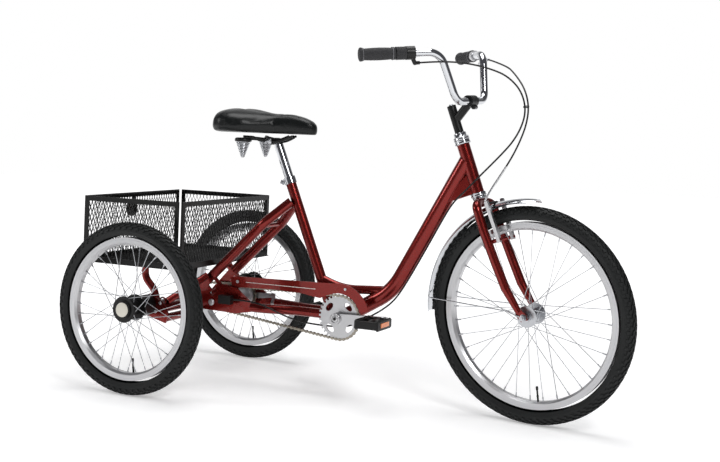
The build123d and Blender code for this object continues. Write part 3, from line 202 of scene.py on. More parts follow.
def soften(obj, width=1.0, segments=2):
    """Rounded edges where faces meet at more than 40 degrees, with hardened normals."""
    bevel = obj.modifiers.new("edge", "BEVEL")
    bevel.width = width * MM
    bevel.segments = segments
    bevel.limit_method = "ANGLE"
    bevel.angle_limit = radians(40)
    bevel.harden_normals = True
    return obj


def facing(origin, direction):
    """A placement whose Z runs along a direction."""
    return Matrix.Translation(origin) @ Vector(direction).to_track_quat("Z", "Y").to_matrix().to_4x4()


def lathe(name, profile, place, segments=64, closed=True):
    """A turned piece from (radius, height) pairs in millimetres round the placement's Z."""
    count = len(profile)
    points = [(r * MM * cos(2 * pi * k / segments), r * MM * sin(2 * pi * k / segments), h * MM)
              for k in range(segments) for r, h in profile]
    faces = []
    for k in range(segments):
        here, there = k * count, (k + 1) % segments * count
        for i in range(count if closed else count - 1):
            j = (i + 1) % count
            faces.append((here + i, there + i, there + j, here + j))
    obj = mesh_piece(name, points, faces, place)
    weld = obj.modifiers.new("weld", "WELD")
    weld.merge_threshold = 0.00002
    return obj


def tube(name, points, radius, smooth=True, closed=False):
    """A round wire or cable through control points given in metres."""
    curve = bpy.data.curves.new(name, "CURVE")
    curve.dimensions = "3D"
    curve.bevel_depth = radius * MM
    curve.bevel_resolution = 3
    curve.use_fill_caps = True
    spline = curve.splines.new("NURBS" if smooth else "POLY")
    spline.points.add(len(points) - 1)
    for spot, point in zip(spline.points, points):
        spot.co = (*point, 1)
    spline.use_cyclic_u = closed
    if smooth:
        spline.order_u = 3
        spline.use_endpoint_u = not closed
        spline.resolution_u = 8
    obj = bpy.data.objects.new(name, curve)
    bpy.context.scene.collection.objects.link(obj)
    return obj


def add_box(points, faces, centre, half, turn=None):
    """Adds one box's corners and faces to the lists."""
    base = len(points)
    for sx in (-1, 1):
        for sy in (-1, 1):
            for sz in (-1, 1):
                corner = Vector((sx * half[0], sy * half[1], sz * half[2]))
                points.append(Vector(centre) + (turn @ corner if turn else corner))
    for quad in ((0, 1, 3, 2), (4, 6, 7, 5), (0, 4, 5, 1), (2, 3, 7, 6), (0, 2, 6, 4), (1, 5, 7, 3)):
        faces.append(tuple(base + i for i in quad))


def boxes(name, entries, place=None):
    """One mesh of boxes, each (centre, half sizes, turn) in millimetres."""
    points, faces = [], []
    for centre, half, turn in entries:
        add_box(points, faces, Vector(centre) * MM, [h * MM for h in half], turn)
    return mesh_piece(name, points, faces, place)


# ---------------------------------------------------------------- wheels
def tyre(name, flange, place, body, blocks):
    centre = flange + CASING
    profile = []
    for k in range(53):
        angle = radians(-130 + 5 * k)
        lateral = abs(degrees(angle))
        radius = 21.3 + (0.7 if 88 < lateral < 96 or 114 < lateral < 120 else 0.0)
        profile.append((centre + radius * cos(angle), radius * sin(angle)))
    for k in range(27):
        angle = radians(130 - 10 * k)
        profile.append((centre + 20.4 * cos(angle), 20.4 * sin(angle)))
    casing = lathe(name + "_casing", profile, place, segments=160)
    show(casing, RUBBER, body)
    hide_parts(name)
    points, faces = [], []
    rows = [(-8, 3.0, 7.4, 0.0), (8, 3.0, 7.4, 0.5), (-26, 2.8, 6.6, 0.5), (26, 2.8, 6.6, 0.0),
            (-46, 3.4, 5.6, 0.0), (46, 3.4, 5.6, 0.5), (-66, 3.8, 4.4, 0.5), (66, 3.8, 4.4, 0.0)]
    for k in range(blocks):
        for lateral, half_across, half_along, phase in rows:
            spin = 2 * pi * (k + phase) / blocks
            lean = radians(lateral)
            out = Vector((cos(spin) * cos(lean), sin(spin) * cos(lean), sin(lean)))
            across = Vector((-cos(spin) * sin(lean), -sin(spin) * sin(lean), cos(lean)))
            along = Vector((-sin(spin), cos(spin), 0))
            radius = 22.6
            spot = Vector((cos(spin) * (centre + radius * cos(lean)), sin(spin) * (centre + radius * cos(lean)),
                           radius * sin(lean)))
            turn = Matrix((along, across, out)).transposed()
            skew = Matrix.Rotation(radians(12 if lateral > 0 else -12), 3, out)
            add_box(points, faces, spot * MM, (half_along * MM, half_across * MM, 1.9 * MM), skew @ turn)
    tread = mesh_piece(name + "_tread", points, faces, place)
    soften(show(tread, RUBBER, body, smooth=False), 0.5, 1)


def wheel_place(origin, axis):
    return facing(origin, axis)


FRONT_PLACE = wheel_place(steered(RAKE, 0, -ABOVE_AXLE), STEER.to_3x3() @ Vector((0, 1, 0)))
REAR_PLACE = {side: wheel_place(at(0, side * HALF_TRACK, REAR_R), (0, side, 0)) for side in (-1, 1)}
WHEELS = [("front", FLANGE_FRONT, FRONT_PLACE, "front_wheel", 84),
          ("right", FLANGE_REAR, REAR_PLACE[-1], "drive_axle", 70),
          ("left", FLANGE_REAR, REAR_PLACE[1], "left_wheel", 70)]
for name, flange, place, body, blocks in WHEELS:
    tyre(name + "_tyre", flange, place, body, blocks)
    # valve, near the bottom, and the brake track's fine edge line on each side of the rim
    down = (place.to_3x3().inverted() @ Vector((0.12, 0, -1))).normalized()
    foot = flange - 22
    stem_place = place @ facing(down * (foot - 1) * MM, -down)
    stem = [(2.9, -2), (2.9, 12), (3.4, 12.5), (3.4, 15), (2.6, 16), (2.6, 30), (3.6, 31), (3.6, 39), (2.8, 40.5),
            (0, 40.5)]
    show(lathe(name + "_valve", stem, stem_place, 20, closed=False), RUBBER, body)
    for y in (-15.2, 15.2):
        ring = lathe(name + ("_rim_line_near" if y < 0 else "_rim_line_far"),
                     [(flange - 7.2, y), (flange - 6.6, y * 1.004), (flange - 6.0, y)], place, 128, closed=False)
        show(ring, STEEL, body)

for side, body in ((-1, "drive_axle"), (1, "left_wheel")):
    name = "right" if side < 0 else "left"
    ring = [(26.6, 28), (26.6, 31.5), (25.8, 34.2), (24.4, 35.6), (21.6, 36.0), (20.6, 35.2)]
    show(lathe(name + "_cap_ring", ring, REAR_PLACE[side], 48, closed=False), BLACK_METAL, body)
    cap = [(21.2, 35.0), (21.2, 36.6), (20.4, 37.8), (17, 38.9), (9, 39.6), (0, 39.8)]
    show(lathe(name + "_dust_cap", cap, REAR_PLACE[side], 48, closed=False), CREAM, body)
    for flange_y in (27.0, -27.0):
        lip = [(38.4, flange_y - 1.4), (38.9, flange_y), (38.4, flange_y + 1.4)]
        show(lathe(name + ("_flange_lip_out" if flange_y > 0 else "_flange_lip_in"), lip, REAR_PLACE[side], 64,
                   closed=False), BLACK_METAL, body)


# ---------------------------------------------------------------- basket
REAR_X, FRONT_X, HALF_WIDTH = -247.0, 117.0, 260.0
FLOOR_Z, MESH_LIFT, HEIGHT = 365.0, 3.0, 200.0
STRIP, STRIP_T, CORNER = 15.0, 3.0, 8.0


def expanded_mesh(name, width, height, place, across=13.5, along=31.0):
    """Diamonds cut in a sheet and pulled open, in the placement's X-Y plane."""
    columns, rows = int(width / across * 2), int(height / along * 2)
    step_x, step_y = width / columns, height / rows
    points, index, faces = [], {}, []

    def spot(i, j):
        if (i, j) not in index:
            index[(i, j)] = len(points)
            points.append(((i * step_x - width / 2) * MM, (j * step_y - height / 2) * MM, 0))
        return index[(i, j)]

    for i in range(columns + 1):
        for j in range(rows + 1):
            if (i + j) % 2:
                ring = [(i - 1, j), (i, j - 1), (i + 1, j), (i, j + 1)]
                ring = [(a, b) for a, b in ring if 0 <= a <= columns and 0 <= b <= rows]
                if len(ring) >= 3:
                    faces.append(tuple(spot(a, b) for a, b in ring))
    obj = mesh_piece(name, points, faces, place)
    wires = obj.modifiers.new("strands", "WIREFRAME")
    wires.thickness = 2.9 * MM
    wires.use_even_offset = False
    wires.use_boundary = True
    return obj


def panel(name, width, origin, across, outward):
    """A flat-bar frame with its mesh, standing on its lower edge."""
    across, outward = Vector(across), Vector(outward)
    turn = Matrix((across, Vector((0, 0, 1)), outward)).transposed().to_4x4()
    place = Matrix.Translation(at(*origin)) @ turn
    half_w, half_h, half_s = width / 2, HEIGHT / 2, STRIP / 2
    entries = [((0, s * (half_h - half_s), -STRIP_T / 2), (half_w, half_s, STRIP_T / 2), None) for s in (-1, 1)]
    entries += [((s * (half_w - half_s), 0, -STRIP_T / 2), (half_s, half_h - STRIP, STRIP_T / 2), None)
                for s in (-1, 1)]
    strips = soften(show(boxes(name + "_frame", entries, place), BLACK_METAL, "frame", False), 0.6)
    mesh = expanded_mesh(name + "_mesh", width - 8, HEIGHT - 8, place @ Matrix.Translation((0, 0, -4.2 * MM)))
    show(mesh, BLACK_METAL, "frame", False)
    return strips


mid_x = (FRONT_X + REAR_X) / 2
length = FRONT_X - REAR_X
base_z = FLOOR_Z + MESH_LIFT + HEIGHT / 2
strips = panel("basket_right", length - 2 * CORNER, (mid_x, -HALF_WIDTH, base_z), (1, 0, 0), (0, -1, 0))
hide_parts("basket_panels")
panel("basket_left", length - 2 * CORNER, (mid_x, HALF_WIDTH, base_z), (-1, 0, 0), (0, 1, 0))
panel("basket_front", 2 * HALF_WIDTH - 2 * CORNER, (FRONT_X, 0, base_z), (0, 1, 0), (1, 0, 0))
panel("basket_rear", 2 * HALF_WIDTH - 2 * CORNER, (REAR_X, 0, base_z), (0, -1, 0), (-1, 0, 0))
half_l, half_s = length / 2, STRIP / 2
entries = [((0, s * (HALF_WIDTH - half_s), 1.5), (half_l, half_s, 1.5), None) for s in (-1, 1)]
entries += [((s * (half_l - half_s), 0, 1.5), (half_s, HALF_WIDTH - STRIP, 1.5), None) for s in (-1, 1)]
entries += [((0, s * 120, 1.5), (half_l - STRIP, 6, 1.5), None) for s in (-1, 1)]
floor_frame = boxes("basket_floor_frame", entries, Matrix.Translation(at(mid_x, 0, FLOOR_Z)))
soften(show(floor_frame, BLACK_METAL, "frame", False), 0.6)
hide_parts("basket_floor")
floor_mesh = expanded_mesh("basket_floor_mesh", length - 12, 2 * HALF_WIDTH - 12,
                           Matrix.Translation(at(mid_x, 0, FLOOR_Z + 3.9)), 31.0, 13.5)
show(floor_mesh, BLACK_METAL, "frame", False)

lamp_place = facing(at(REAR_X - 4, 0, 515), (-1, 0, 0))
body_profile = [(24, 0), (26, 1.5), (26.4, 8), (25.6, 9.6), (24.6, 9.9), (24.2, 8.6)]
housing = show(lathe("reflector_housing", body_profile, lamp_place, 48, closed=False), PLASTIC, "frame")
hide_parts("rear_reflector")
lens_profile = [(24.4, 8.4)] + [(24.4 - 1.9 * k, 8.9 + (0.45 if k % 2 else 0)) for k in range(1, 12)] + [(0, 9.3)]
show(lathe("reflector_lens", lens_profile, lamp_place, 24, closed=False), LENS, "frame", False)
bracket = boxes("reflector_bracket", [((-2, 0, 15), (1.6, 11, 31), None), ((-5, 0, 44), (4.6, 11, 1.5), None)],
                Matrix.Translation(at(REAR_X, 0, 515)))
soften(show(bracket, BLACK_METAL, "frame", False), 0.8)


# ---------------------------------------------------------------- chains
def chain_loop(centre_a, radius_a, centre_b, radius_b):
    """Points and headings along the pitch line, one a link apart."""
    gap_x, gap_z = centre_b[0] - centre_a[0], centre_b[1] - centre_a[1]
    distance, lean = hypot(gap_x, gap_z), atan2(gap_z, gap_x)
    spread = acos((radius_a - radius_b) / distance)
    run = sqrt(distance ** 2 - (radius_a - radius_b) ** 2)
    stretches = [run, 2 * spread * radius_b, run, 2 * (pi - spread) * radius_a]
    total = sum(stretches)
    links = round(total / PITCH / 2) * 2
    spots = []
    for k in range(links):
        s = total * k / links
        if s < run:
            f, turn = s / run, lean + spread
            x = centre_a[0] + radius_a * cos(turn) + (gap_x + (radius_b - radius_a) * cos(turn)) * f
            z = centre_a[1] + radius_a * sin(turn) + (gap_z + (radius_b - radius_a) * sin(turn)) * f
        elif s < run + stretches[1]:
            turn = lean + spread - (s - run) / radius_b
            x, z = centre_b[0] + radius_b * cos(turn), centre_b[1] + radius_b * sin(turn)
        elif s < 2 * run + stretches[1]:
            f, turn = 1 - (s - run - stretches[1]) / run, lean - spread
            x = centre_a[0] + radius_a * cos(turn) + (gap_x + (radius_b - radius_a) * cos(turn)) * f
            z = centre_a[1] + radius_a * sin(turn) + (gap_z + (radius_b - radius_a) * sin(turn)) * f
        else:
            turn = lean - spread - (s - 2 * run - stretches[1]) / radius_a
            x, z = centre_a[0] + radius_a * cos(turn), centre_a[1] + radius_a * sin(turn)
        spots.append(Vector((x, 0, z)))
    return spots


def chain_piece(name, spots, y):
    """Alternate inner and outer links: two waisted plates each, and a roller at every pin."""
    points, faces = [], []
    outline = []
    for k in range(12):
        a = pi / 2 + pi * k / 11
        outline.append((-PITCH / 2 + 4.2 * cos(a), 4.2 * sin(a)))
    outline.append((0, -1.8))
    for k in range(12):
        a = -pi / 2 + pi * k / 11
        outline.append((PITCH / 2 + 4.2 * cos(a), 4.2 * sin(a)))
    outline.append((0, 1.8))
    count = len(outline)
    for k, spot in enumerate(spots):
        after = spots[(k + 1) % len(spots)]
        middle, along = (spot + after) / 2, (after - spot).normalized()
        up = Vector((-along.z, 0, along.x))
        offset = 2.6 if k % 2 else 3.7
        for side in (-1, 1):
            base = len(points)
            for lift in (-0.5, 0.5):
                for u, v in outline:
                    p = middle + along * u + up * v
                    points.append(at(p.x, y + side * offset + lift, p.z))
            faces.append(tuple(range(base, base + count)))
            faces.append(tuple(range(base + 2 * count - 1, base + count - 1, -1)))
            for i in range(count):
                j = (i + 1) % count
                faces.append((base + i, base + count + i, base + count + j, base + j))
        base = len(points)
        for lift, radius in ((-4.5, 1.8), (-4.2, 1.9), (-2.1, 1.9), (-2.1, 3.9), (2.1, 3.9), (2.1, 1.9), (4.2, 1.9), (4.5, 1.8)):
            for i in range(12):
                a = 2 * pi * i / 12
                points.append(at(spot.x + radius * cos(a), y + lift, spot.z + radius * sin(a)))
        for ring in range(7):
            for i in range(12):
                j = (i + 1) % 12
                lower = base + ring * 12
                faces.append((lower + i, lower + j, lower + 12 + j, lower + 12 + i))
        faces.append(tuple(base + i for i in range(12)))
        faces.append(tuple(base + 84 + 11 - i for i in range(12)))
    return mesh_piece(name, points, faces)


def pitch_radius(teeth):
    return PITCH / (2 * sin(pi / teeth))


for name, args in (("front_chain", ((BB_X, BB_Z), pitch_radius(32), (HUB_X, HUB_Z), pitch_radius(20))),
                   ("rear_chain", ((HUB_X, HUB_Z), pitch_radius(18), (0, REAR_R), pitch_radius(18)))):
    links = chain_piece(name + "_links", chain_loop(*args), -47.0 if name == "front_chain" else 40.0)
    show(links, CHAIN, "frame", False)
    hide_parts(name)


# ---------------------------------------------------------------- saddle
NOSE_X, SADDLE_LENGTH, SADDLE_HALF = 422.0, 317.0, 127.5
STATIONS = [(0.00, 0.05, 803), (0.02, 0.13, 812), (0.06, 0.19, 821), (0.14, 0.235, 831), (0.28, 0.27, 840),
            (0.40, 0.36, 839), (0.52, 0.58, 838), (0.64, 0.84, 843), (0.76, 0.99, 849), (0.86, 1.00, 851),
            (0.94, 0.91, 848), (0.98, 0.78, 838), (1.00, 0.60, 824)]
SKIRT_Z = 797.0           # widest line of the cover
UNDER_Z = 778.0


def between(t, column):
    """Smooth value of a station column at t."""
    for (t0, *low), (t1, *high) in zip(STATIONS, STATIONS[1:]):
        if t <= t1:
            f = (t - t0) / (t1 - t0)
            return low[column] * (1 - f) + high[column] * f
    return STATIONS[-1][column + 1]


def saddle_shape():
    """Closed rings from the nose back: over the top from one side to the other, then back underneath."""
    rings, over, under = 44, 29, 12
    points, faces = [], []
    around = over + under
    for i in range(rings + 1):
        t = 0.5 - 0.5 * cos(pi * i / rings)
        x = NOSE_X - SADDLE_LENGTH * t
        half, top = SADDLE_HALF * between(t, 0), between(t, 1)
        for j in range(over):
            a = pi * j / (over - 1)
            y = half * abs(cos(a)) ** 0.6 * (1 if cos(a) > 0 else -1)
            lift = sin(a) ** 0.7
            dip = 8 * max(0.0, min(1.0, (t - 0.25) * 3)) * 2.718 ** -((y / 22) ** 2) * lift
            points.append(at(x, y, SKIRT_Z + (top - SKIRT_Z) * lift - dip))
        for j in range(under):
            a = pi * (j + 1) / (under + 1)
            y = -half * abs(cos(a)) ** 0.5 * (1 if cos(a) > 0 else -1)
            points.append(at(x, y * 0.97, SKIRT_Z - (SKIRT_Z - UNDER_Z) * sin(a) ** 0.5))
    for i in range(rings):
        for j in range(around):
            here, after = i * around + j, i * around + (j + 1) % around
            faces.append((here, after, after + around, here + around))
    faces.append(tuple(range(around))[::-1])
    faces.append(tuple(rings * around + j for j in range(around)))
    return points, faces


points, faces = saddle_shape()
pad = mesh_piece("saddle_cover", points, faces)
bpy.context.view_layer.objects.active = pad
remesh = pad.modifiers.new("even", "REMESH")
remesh.mode = "VOXEL"
remesh.voxel_size = 0.0045
smooth = pad.modifiers.new("smooth", "SMOOTH")
smooth.iterations = 6
bpy.ops.object.modifier_apply(modifier="even")
bpy.ops.object.modifier_apply(modifier="smooth")
held = pad.vertex_groups.new(name="held")
floor_z = min(v.co.z for v in pad.data.vertices)
before = [v.co.copy() for v in pad.data.vertices]
for vertex in pad.data.vertices:
    height = vertex.co.z - floor_z
    weight = 1.0 if height < 0.018 else 0.0
    held.add([vertex.index], weight, "REPLACE")
cloth = pad.modifiers.new("cloth", "CLOTH")
cloth.settings.use_pressure = True
cloth.settings.uniform_pressure_force = 3.0
cloth.settings.vertex_group_mass = "held"
cloth.settings.quality = 5
cloth.settings.tension_stiffness = 25
cloth.settings.compression_stiffness = 25
cloth.settings.bending_stiffness = 0.6
cloth.settings.effector_weights.gravity = 0.0
cloth.point_cache.frame_start, cloth.point_cache.frame_end = 1, 16
for number in range(1, 17):
    bpy.context.scene.frame_set(number)
shaped = pad.evaluated_get(bpy.context.evaluated_depsgraph_get()).data
after = [v.co.copy() for v in shaped.vertices]
pad.modifiers.remove(cloth)
for vertex, start, end in zip(pad.data.vertices, before, after):
    move = end - start
    vertex.co = start + move * min(1.0, 0.004 / max(move.length, 1e-9))
bpy.context.scene.frame_set(1)
subdivide = pad.modifiers.new("round", "SUBSURF")
subdivide.levels = subdivide.render_levels = 1
show(pad, VINYL, "saddle")
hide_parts("saddle_pad", "saddle_base")
# conical springs, wide end up under a black cap
SPRING_X, SPRING_Y, SPRING_LOW, SPRING_HIGH = 205.0, 68.0, 702.0, 757.0
for side in (-1, 1):
    turns, steps = 11, 240
    line = []
    for k in range(steps + 1):
        f = k / steps
        a = 2 * pi * turns * f
        radius = 4.5 + 18 * f
        line.append(at(SPRING_X + radius * cos(a), side * (SPRING_Y + radius * sin(a)),
                       SPRING_LOW + 3 + (SPRING_HIGH - SPRING_LOW - 6) * f))
    name = "right" if side < 0 else "left"
    coil = show(tube("saddle_spring_" + name, line, 2.1), CHROME, "saddle")
    cap_place = Matrix.Translation(at(SPRING_X, side * SPRING_Y, SPRING_HIGH))
    cap = [(0, 6), (20, 6), (25, 4), (26, 0), (26, -5), (23.5, -6), (23.5, -1), (0, -1)]
    show(lathe("spring_cap_" + name, cap, cap_place, 40, closed=False), PLASTIC, "saddle")
    foot_place = Matrix.Translation(at(SPRING_X, side * SPRING_Y, SPRING_LOW))
    foot = [(0, 0), (4, 0.6), (6, 3), (6, 6), (4, 8), (0, 8)]
    show(lathe("spring_foot_" + name, foot, foot_place, 24, closed=False), CHROME, "saddle")
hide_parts("saddle_springs")
CLAMP = (272.72, 754.25)
for side in (-1, 1):
    disc = [(0, 38), (4, 38), (4.5, 36.5), (8.5, 36), (10.6, 34.5), (11, 31), (11, 30), (0, 30)]
    show(lathe("saddle_clamp_nut_" + ("right" if side < 0 else "left"), disc,
               facing(at(CLAMP[0], 0, CLAMP[1]), (0, side, 0)), 36, closed=False), STEEL, "saddle")
for side in (-1, 1):
    arm = [at(205, side * 68, 762), at(232, side * 42, 762), at(262, side * 26, 758), at(300, side * 22, 752),
           at(336, side * 14, 770)]
    show(tube("saddle_frame_" + ("right" if side < 0 else "left"), arm, 6), BLACK_METAL, "saddle")


# ---------------------------------------------------------------- bars, grips, cables
BAR_END = Vector((-68.6, 291, 436.7))
BAR_TOP = Vector((83.4, 131, 392.4))


def bar_place(side):
    """Z runs inward along the swept-back end of the bar, from its tip."""
    end = steered(BAR_END.x, side * BAR_END.y, BAR_END.z)
    top = steered(BAR_TOP.x, side * BAR_TOP.y, BAR_TOP.z)
    return facing(end, top - end)


for side, reach in ((-1, 96.0), (1, 125.0)):
    name = "right" if side < 0 else "left"
    profile = [(0, -5), (15, -5), (18.6, -3.4), (19.6, 0), (18.4, 4), (16.2, 10)]
    count = int((reach - 26) / 4)
    for k in range(count):
        z = 13 + 4 * k
        swell = 1.1 * sin(pi * k / count)
        profile += [(16.0 + swell, z), (16.6 + swell, z + 0.9), (16.6 + swell, z + 2.3), (16.0 + swell, z + 3.2)]
    profile += [(16.4, reach - 9), (17.6, reach - 7), (17.8, reach - 2), (16.8, reach), (11.2, reach)]
    grip = show(lathe(name + "_grip", profile, bar_place(side), 48, closed=False), GRIP, "steering")
    for spot in (4.5, reach - 7.5):
        edge = [(18.2, spot - 0.9), (18.75, spot), (18.2, spot + 0.9)]
        show(lathe(name + ("_grip_edge_out" if spot < 20 else "_grip_edge_in"), edge, bar_place(side), 48,
                   closed=False), GRIP_EDGE, "steering")
    if side < 0:
        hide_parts("grips")
twist = [(11.3, 98), (18, 98), (18.6, 99.5)]
for k in range(6):
    twist += [(18.6, 100 + 4 * k), (17.7, 101 + 4 * k), (17.7, 103 + 4 * k), (18.6, 104 + 4 * k)]
twist += [(18.6, 126.4), (17.8, 127.4), (11.3, 127.4)]
twist = show(lathe("twist_grip_sleeve", twist, bar_place(-1), 48, closed=False), GRIP, "twist_grip")
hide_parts("shifter_grip")

SHIFT_LOOP = [(34, -170, 378), (78, -147, 366), (118, -112, 350), (150, -78, 331), (180, -49, 307),
              (205, -28, 281), (223, -14, 242), (227, -10, 202), (218, -11, 164), (194, -15, 130), (160, -20, 101),
              (120, -26, 79), (78, -33, 58), (36, -39, 38), (-6, -40, 18)]
SHIFT_FRAME = [(894, -33, 611), (870, -20, 584), (842, -11, 540), (790, -9, 446), (741, -10, 359),
               (706, -10, 306), (664, -10, 271), (610, -12, 240), (568, -18, 216), (522, -27, 211),
               (478, -30, 211), (436, -34, 213), (402, -40, 218), (376, -50, 226), (350, -64, 238), (324, -75, 251),
               (290, -81, 264), (232, -83, 268)]
route = [steered(*p) for p in SHIFT_LOOP] + [at(*p) for p in SHIFT_FRAME]
shift = tube("shift_housing", route, 2.5)
bpy.context.view_layer.objects.active = shift
bpy.ops.object.select_all(action="DESELECT")
shift.select_set(True)
bpy.ops.object.convert(target="MESH")
shift = bpy.context.view_layer.objects.active
shift.data.materials.append(HOUSING)
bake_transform(shift)
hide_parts("shift_cable")

BRAKE_LOOP = [(155, 112, 326), (178, 86, 301), (199, 60, 272), (217, 35, 241), (227, 14, 208), (226, 0, 172),
              (209, -9, 134), (186, -16, 103), (156, -22, 71), (124, -30, 42), (92, -41, 14), (70, -52, -6),
              (54, -61, -23), (45, -63, -33)]


# ---------------------------------------------------------------- pedals
def pedal(name, side, body):
    angle = radians(4 if side < 0 else 184)
    centre = (BB_X + 152 * cos(angle), side * 135.0, BB_Z + 152 * sin(angle))
    place = Matrix.Translation(at(*centre))
    entries = [((s * 33, 0, 0), (4.5, 46, 12), None) for s in (-1, 1)]
    entries += [((0, s * 44, 0), (33, 3.5, 11), None) for s in (-1, 1)]
    entries += [((0, s * 22, 0), (31, 2.2, 8), None) for s in (-1, 1)]
    body_piece = soften(show(boxes(name + "_cage", entries, place), PLASTIC, body, False), 2.0, 3)
    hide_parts(name)
    teeth = [((s * 33, -40 + 10 * k, t * 13), (2.6, 2.6, 1.6), None) for s in (-1, 1) for k in range(9) for t in (-1, 1)]
    soften(show(boxes(name + "_teeth", teeth, place), PLASTIC, body, False), 0.6)
    barrel = [(0, -47), (7, -47), (10, -44), (10, -20), (12, -16), (12, 16), (10, 20), (10, 44), (7, 47), (0, 47)]
    show(lathe(name + "_barrel", barrel, place @ Matrix.Rotation(radians(-90), 4, "X"), 32, closed=False), PLASTIC,
         body)
    stub = [(0, 40), (7.4, 40), (7.4, 58), (9.5, 59), (9.5, 64), (5.1, 64.6), (5.1, 76), (0, 76)]
    show(lathe(name + "_spindle", stub, place @ facing((0, 0, 0), (0, -side, 0)), 24, closed=False), STEEL, body)
    glow = [((s * 37.7, 0, 0), (1.0, 27, 6.5), None) for s in (-1, 1)]
    soften(show(boxes(name + "_reflectors", glow, place), AMBER, body, False), 0.6)


pedal("pedal_right", -1, "right_pedal")
pedal("pedal_left", 1, "left_pedal")


# ---------------------------------------------------------------- small pieces
def bolt(name, origin, direction, body, radius=6.0, height=5.0, surface=STEEL):
    """A domed hex socket screw head on a washer."""
    place = facing(origin, direction)
    head = [(0, height), (radius * 0.4, height), (radius * 0.45, height * 0.5), (radius * 0.5, height),
            (radius * 0.85, height * 0.9), (radius, height * 0.6), (radius, 0.8), (radius * 1.35, 0.8),
            (radius * 1.35, 0), (0, 0)]
    return show(lathe(name, head, place, 24, closed=False), surface, body)


STEER_3 = STEER.to_3x3()
HEAD_TOP = 144.0
LOCK_RING = [(21.4, 12.3), (23.4, 13.2), (23.4, 16.8), (22.4, 18.0), (22.4, 19.6), (23.4, 20.2), (23.4, 21.6),
             (22.2, 22.4), (18.4, 23.2), (18.4, 33), (17.4, 34.8), (12.8, 34.8)]
show(lathe("headset_lock_ring", [(r, HEAD_TOP + h) for r, h in LOCK_RING], STEER, 48, closed=False), CHROME,
     "steering")
show(lathe("headset_race", [(12.8, -12.4), (20.6, -12.6), (21.2, -14), (20.6, -18.6), (17, -20), (12.8, -20)], STEER,
           48, closed=False), CHROME, "steering")
for name, low, high in (("headset_upper_lip", HEAD_TOP, HEAD_TOP + 12), ("headset_lower_lip", -12, 0)):
    lip = [(22.3, low + 1), (23.6, low + 2.6), (23.6, low + 4.6), (22.3, low + 6), (22.3, high - 3), (23.0, high - 1.5),
           (22.3, high - 0.2)]
    show(lathe(name, lip, STEER, 48, closed=False), CHROME, "frame")
noodle = [steered(*p) for p in ((124, -30, 42), (92, -41, 14), (70, -52, -6), (54, -61, -23), (45, -63, -33))]
show(tube("brake_noodle", noodle, 3.2), ALLOY, "steering")
inward = (BAR_TOP - BAR_END).normalized()
up_local = Vector((sin(TILT), 0, cos(TILT)))
level = inward.cross(up_local).normalized()
level = level if level.dot(Vector((cos(TILT), 0, -sin(TILT)))) > 0 else -level
away = (level * 0.92 - up_local * 0.39).normalized()
away = (away - inward * away.dot(inward)).normalized()
pivot = BAR_END + inward * 144 + away * 30
nose = pivot + inward * 26 + away * 3
leaving = [nose + inward * 0.5, nose + inward * 0.5 + (nose - pivot).normalized() * 16]
brake_route = tube("brake_housing", [steered(*p) for p in leaving + BRAKE_LOOP], 2.5)
show(brake_route, HOUSING, "steering")
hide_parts("brake_cable")
ferrule = facing(steered(*leaving[0]), STEER_3 @ (nose - pivot).normalized())
show(lathe("brake_ferrule", [(0, -9), (4.6, -9), (5, -8), (5, -1), (3.6, 4), (3.6, 10), (0, 10)], ferrule, 24,
           closed=False), STEEL, "steering")
wire = [steered(42, y, -40) for y in (-54, -20, 20, 54)]
show(tube("brake_wire", wire, 0.9), STEEL, "steering")
show(tube("brake_boot", [steered(42, y, -40) for y in (-34, -10, 14)], 3.4), RUBBER, "steering")
tie = facing(steered(224.5, -6, 182), STEER_3 @ Vector((0.13, 0.2, 1)))
show(lathe("cable_tie", [(7.5, -1.6), (8.6, -1.6), (8.6, 1.6), (7.5, 1.6)], tie, 24), PLASTIC, "steering")
bolt("stem_top_bolt", steered(0, 0, 261), STEER_3 @ Vector((0, 0, 1)), "steering", 6.5, 5, STEEL)
bolt("stem_clamp_bolt", steered(63.7 + 6, 0, 253.6 - 21), STEER_3 @ Vector((0.3, 0, -1)), "steering", 4.5, 5, STEEL)
for side in (-1, 1):
    name = "right" if side < 0 else "left"
    boss = [(15.4, 75.8), (15.4, 77), (13.4, 78), (11, 78), (10.4, 76.6), (9.4, 76.6), (9, 78.4), (4, 78.6), (0, 77)]
    show(lathe(name + "_crank_cap", boss, facing(at(BB_X, 0, BB_Z), (0, side, 0)), 40, closed=False),
         ALLOY, "crankset")
    bolt(name + "_crank_bolt", at(BB_X, side * 77.4, BB_Z), (0, side, 0), "crankset", 5, 3, PLASTIC)
    bolt(name + "_plate_bolt", at(108, side * 68, 249), (0, side, 0), "frame", 7.5, 4, STEEL)
    for k, (x, z) in enumerate(((30, 236), (46, 262))):
        bolt(f"{name}_beam_bolt_{k}", at(x, side * 250.2, z), (0, side, 0), "frame", 4, 3, STEEL)

# plain pinstripe along the chainguard
stripe = [at(HUB_X + x, GUARD_Y - 1.9, 319 + 0.006 * x) for x in (58, 140, 220, 300)]
show(tube("guard_pinstripe", stripe, 0.9), STRIPE, "frame")


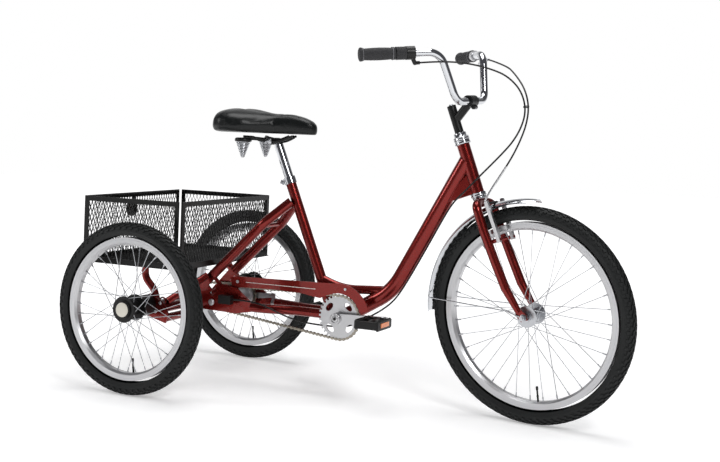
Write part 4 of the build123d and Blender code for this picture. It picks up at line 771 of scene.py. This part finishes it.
# ---------------------------------------------------------------- floor, light, camera
floor = mesh_piece("floor", [(-9, -9, 0), (9, -9, 0), (9, 12, 0), (-9, 12, 0)], [(0, 1, 2, 3)])
floor.location.z = -0.0004
pale = new_material("floor_paper_painted_glow", (0.86, 0.86, 0.86), 0.9, worn=0.02)
floor.data.materials.append(pale)
nodes, links = pale.node_tree.nodes, pale.node_tree.links
# painted light: the floor glows at 0.34 within 0.6 m of its origin, rising to full white from 3.6 m out. This stands in
# for lamp light that does not reach the far floor, and it lightens the cast shadows
reach = nodes.new("ShaderNodeVectorMath")
reach.operation = "LENGTH"
links.new(next(n for n in nodes if n.type == "TEX_COORD").outputs["Object"], reach.inputs[0])
glow = nodes.new("ShaderNodeMapRange")
glow.inputs["From Min"].default_value, glow.inputs["From Max"].default_value = 0.6, 3.6
glow.inputs["To Min"].default_value, glow.inputs["To Max"].default_value = 0.34, 1.0
links.new(reach.outputs["Value"], glow.inputs["Value"])
pale.node_tree.nodes["Principled BSDF"].inputs["Emission Color"].default_value = (1, 1, 1, 1)
links.new(glow.outputs["Result"], pale.node_tree.nodes["Principled BSDF"].inputs["Emission Strength"])

# a white wall behind the tricycle, greyer overhead and behind the viewer, so that bright metal has contrast
world = bpy.data.worlds.new("studio")
bpy.context.scene.world = world
world.use_nodes = True
nodes, links = world.node_tree.nodes, world.node_tree.links
place = nodes.new("ShaderNodeTexCoord")
toward = nodes.new("ShaderNodeVectorMath")
toward.operation = "DOT_PRODUCT"
toward.inputs[1].default_value = (-0.43, 0.88, -0.2)
links.new(place.outputs["Generated"], toward.inputs[0])
ramp = nodes.new("ShaderNodeValToRGB")
ramp.color_ramp.elements[0].position, ramp.color_ramp.elements[0].color = 0.45, (0.10, 0.10, 0.11, 1)
ramp.color_ramp.elements[1].position, ramp.color_ramp.elements[1].color = 0.85, (1, 1, 1, 1)
links.new(toward.outputs["Value"], ramp.inputs["Fac"])
links.new(ramp.outputs["Color"], nodes["Background"].inputs["Color"])
nodes["Background"].inputs["Strength"].default_value = 1.0


def soft_light(name, spot, target, size, power):
    data = bpy.data.lights.new(name, "AREA")
    data.shape, data.size, data.energy = "SQUARE", size, power
    obj = bpy.data.objects.new(name, data)
    bpy.context.scene.collection.objects.link(obj)
    obj.location = spot
    obj.rotation_euler = (Vector(target) - Vector(spot)).to_track_quat("-Z", "Y").to_euler()


soft_light("key", (2.6, -2.2, 3.0), (0, 0, 0.4), 1.1, 60)
soft_light("top", (-0.2, 0.2, 3.6), (0, 0, 0.3), 2.2, 70)
soft_light("side", (-2.8, -1.8, 1.8), (0, 0, 0.5), 1.0, 22)

lens = bpy.data.cameras.new("camera")
camera = bpy.data.objects.new("camera", lens)
bpy.context.scene.collection.objects.link(camera)
bpy.context.scene.camera = camera
lens.sensor_width, lens.lens = 36.0, 59.76
lens.shift_y = -0.154
YAW, ROLL = 26.129, 1.924
camera.matrix_world = (Matrix.Translation((1.5572, -3.2007, 0.8272)) @ Matrix.Rotation(radians(YAW), 4, "Z")
                       @ Matrix.Rotation(radians(90.02), 4, "X") @ Matrix.Rotation(radians(ROLL), 4, "Z"))
bpy.context.scene.view_settings.view_transform = "Standard"
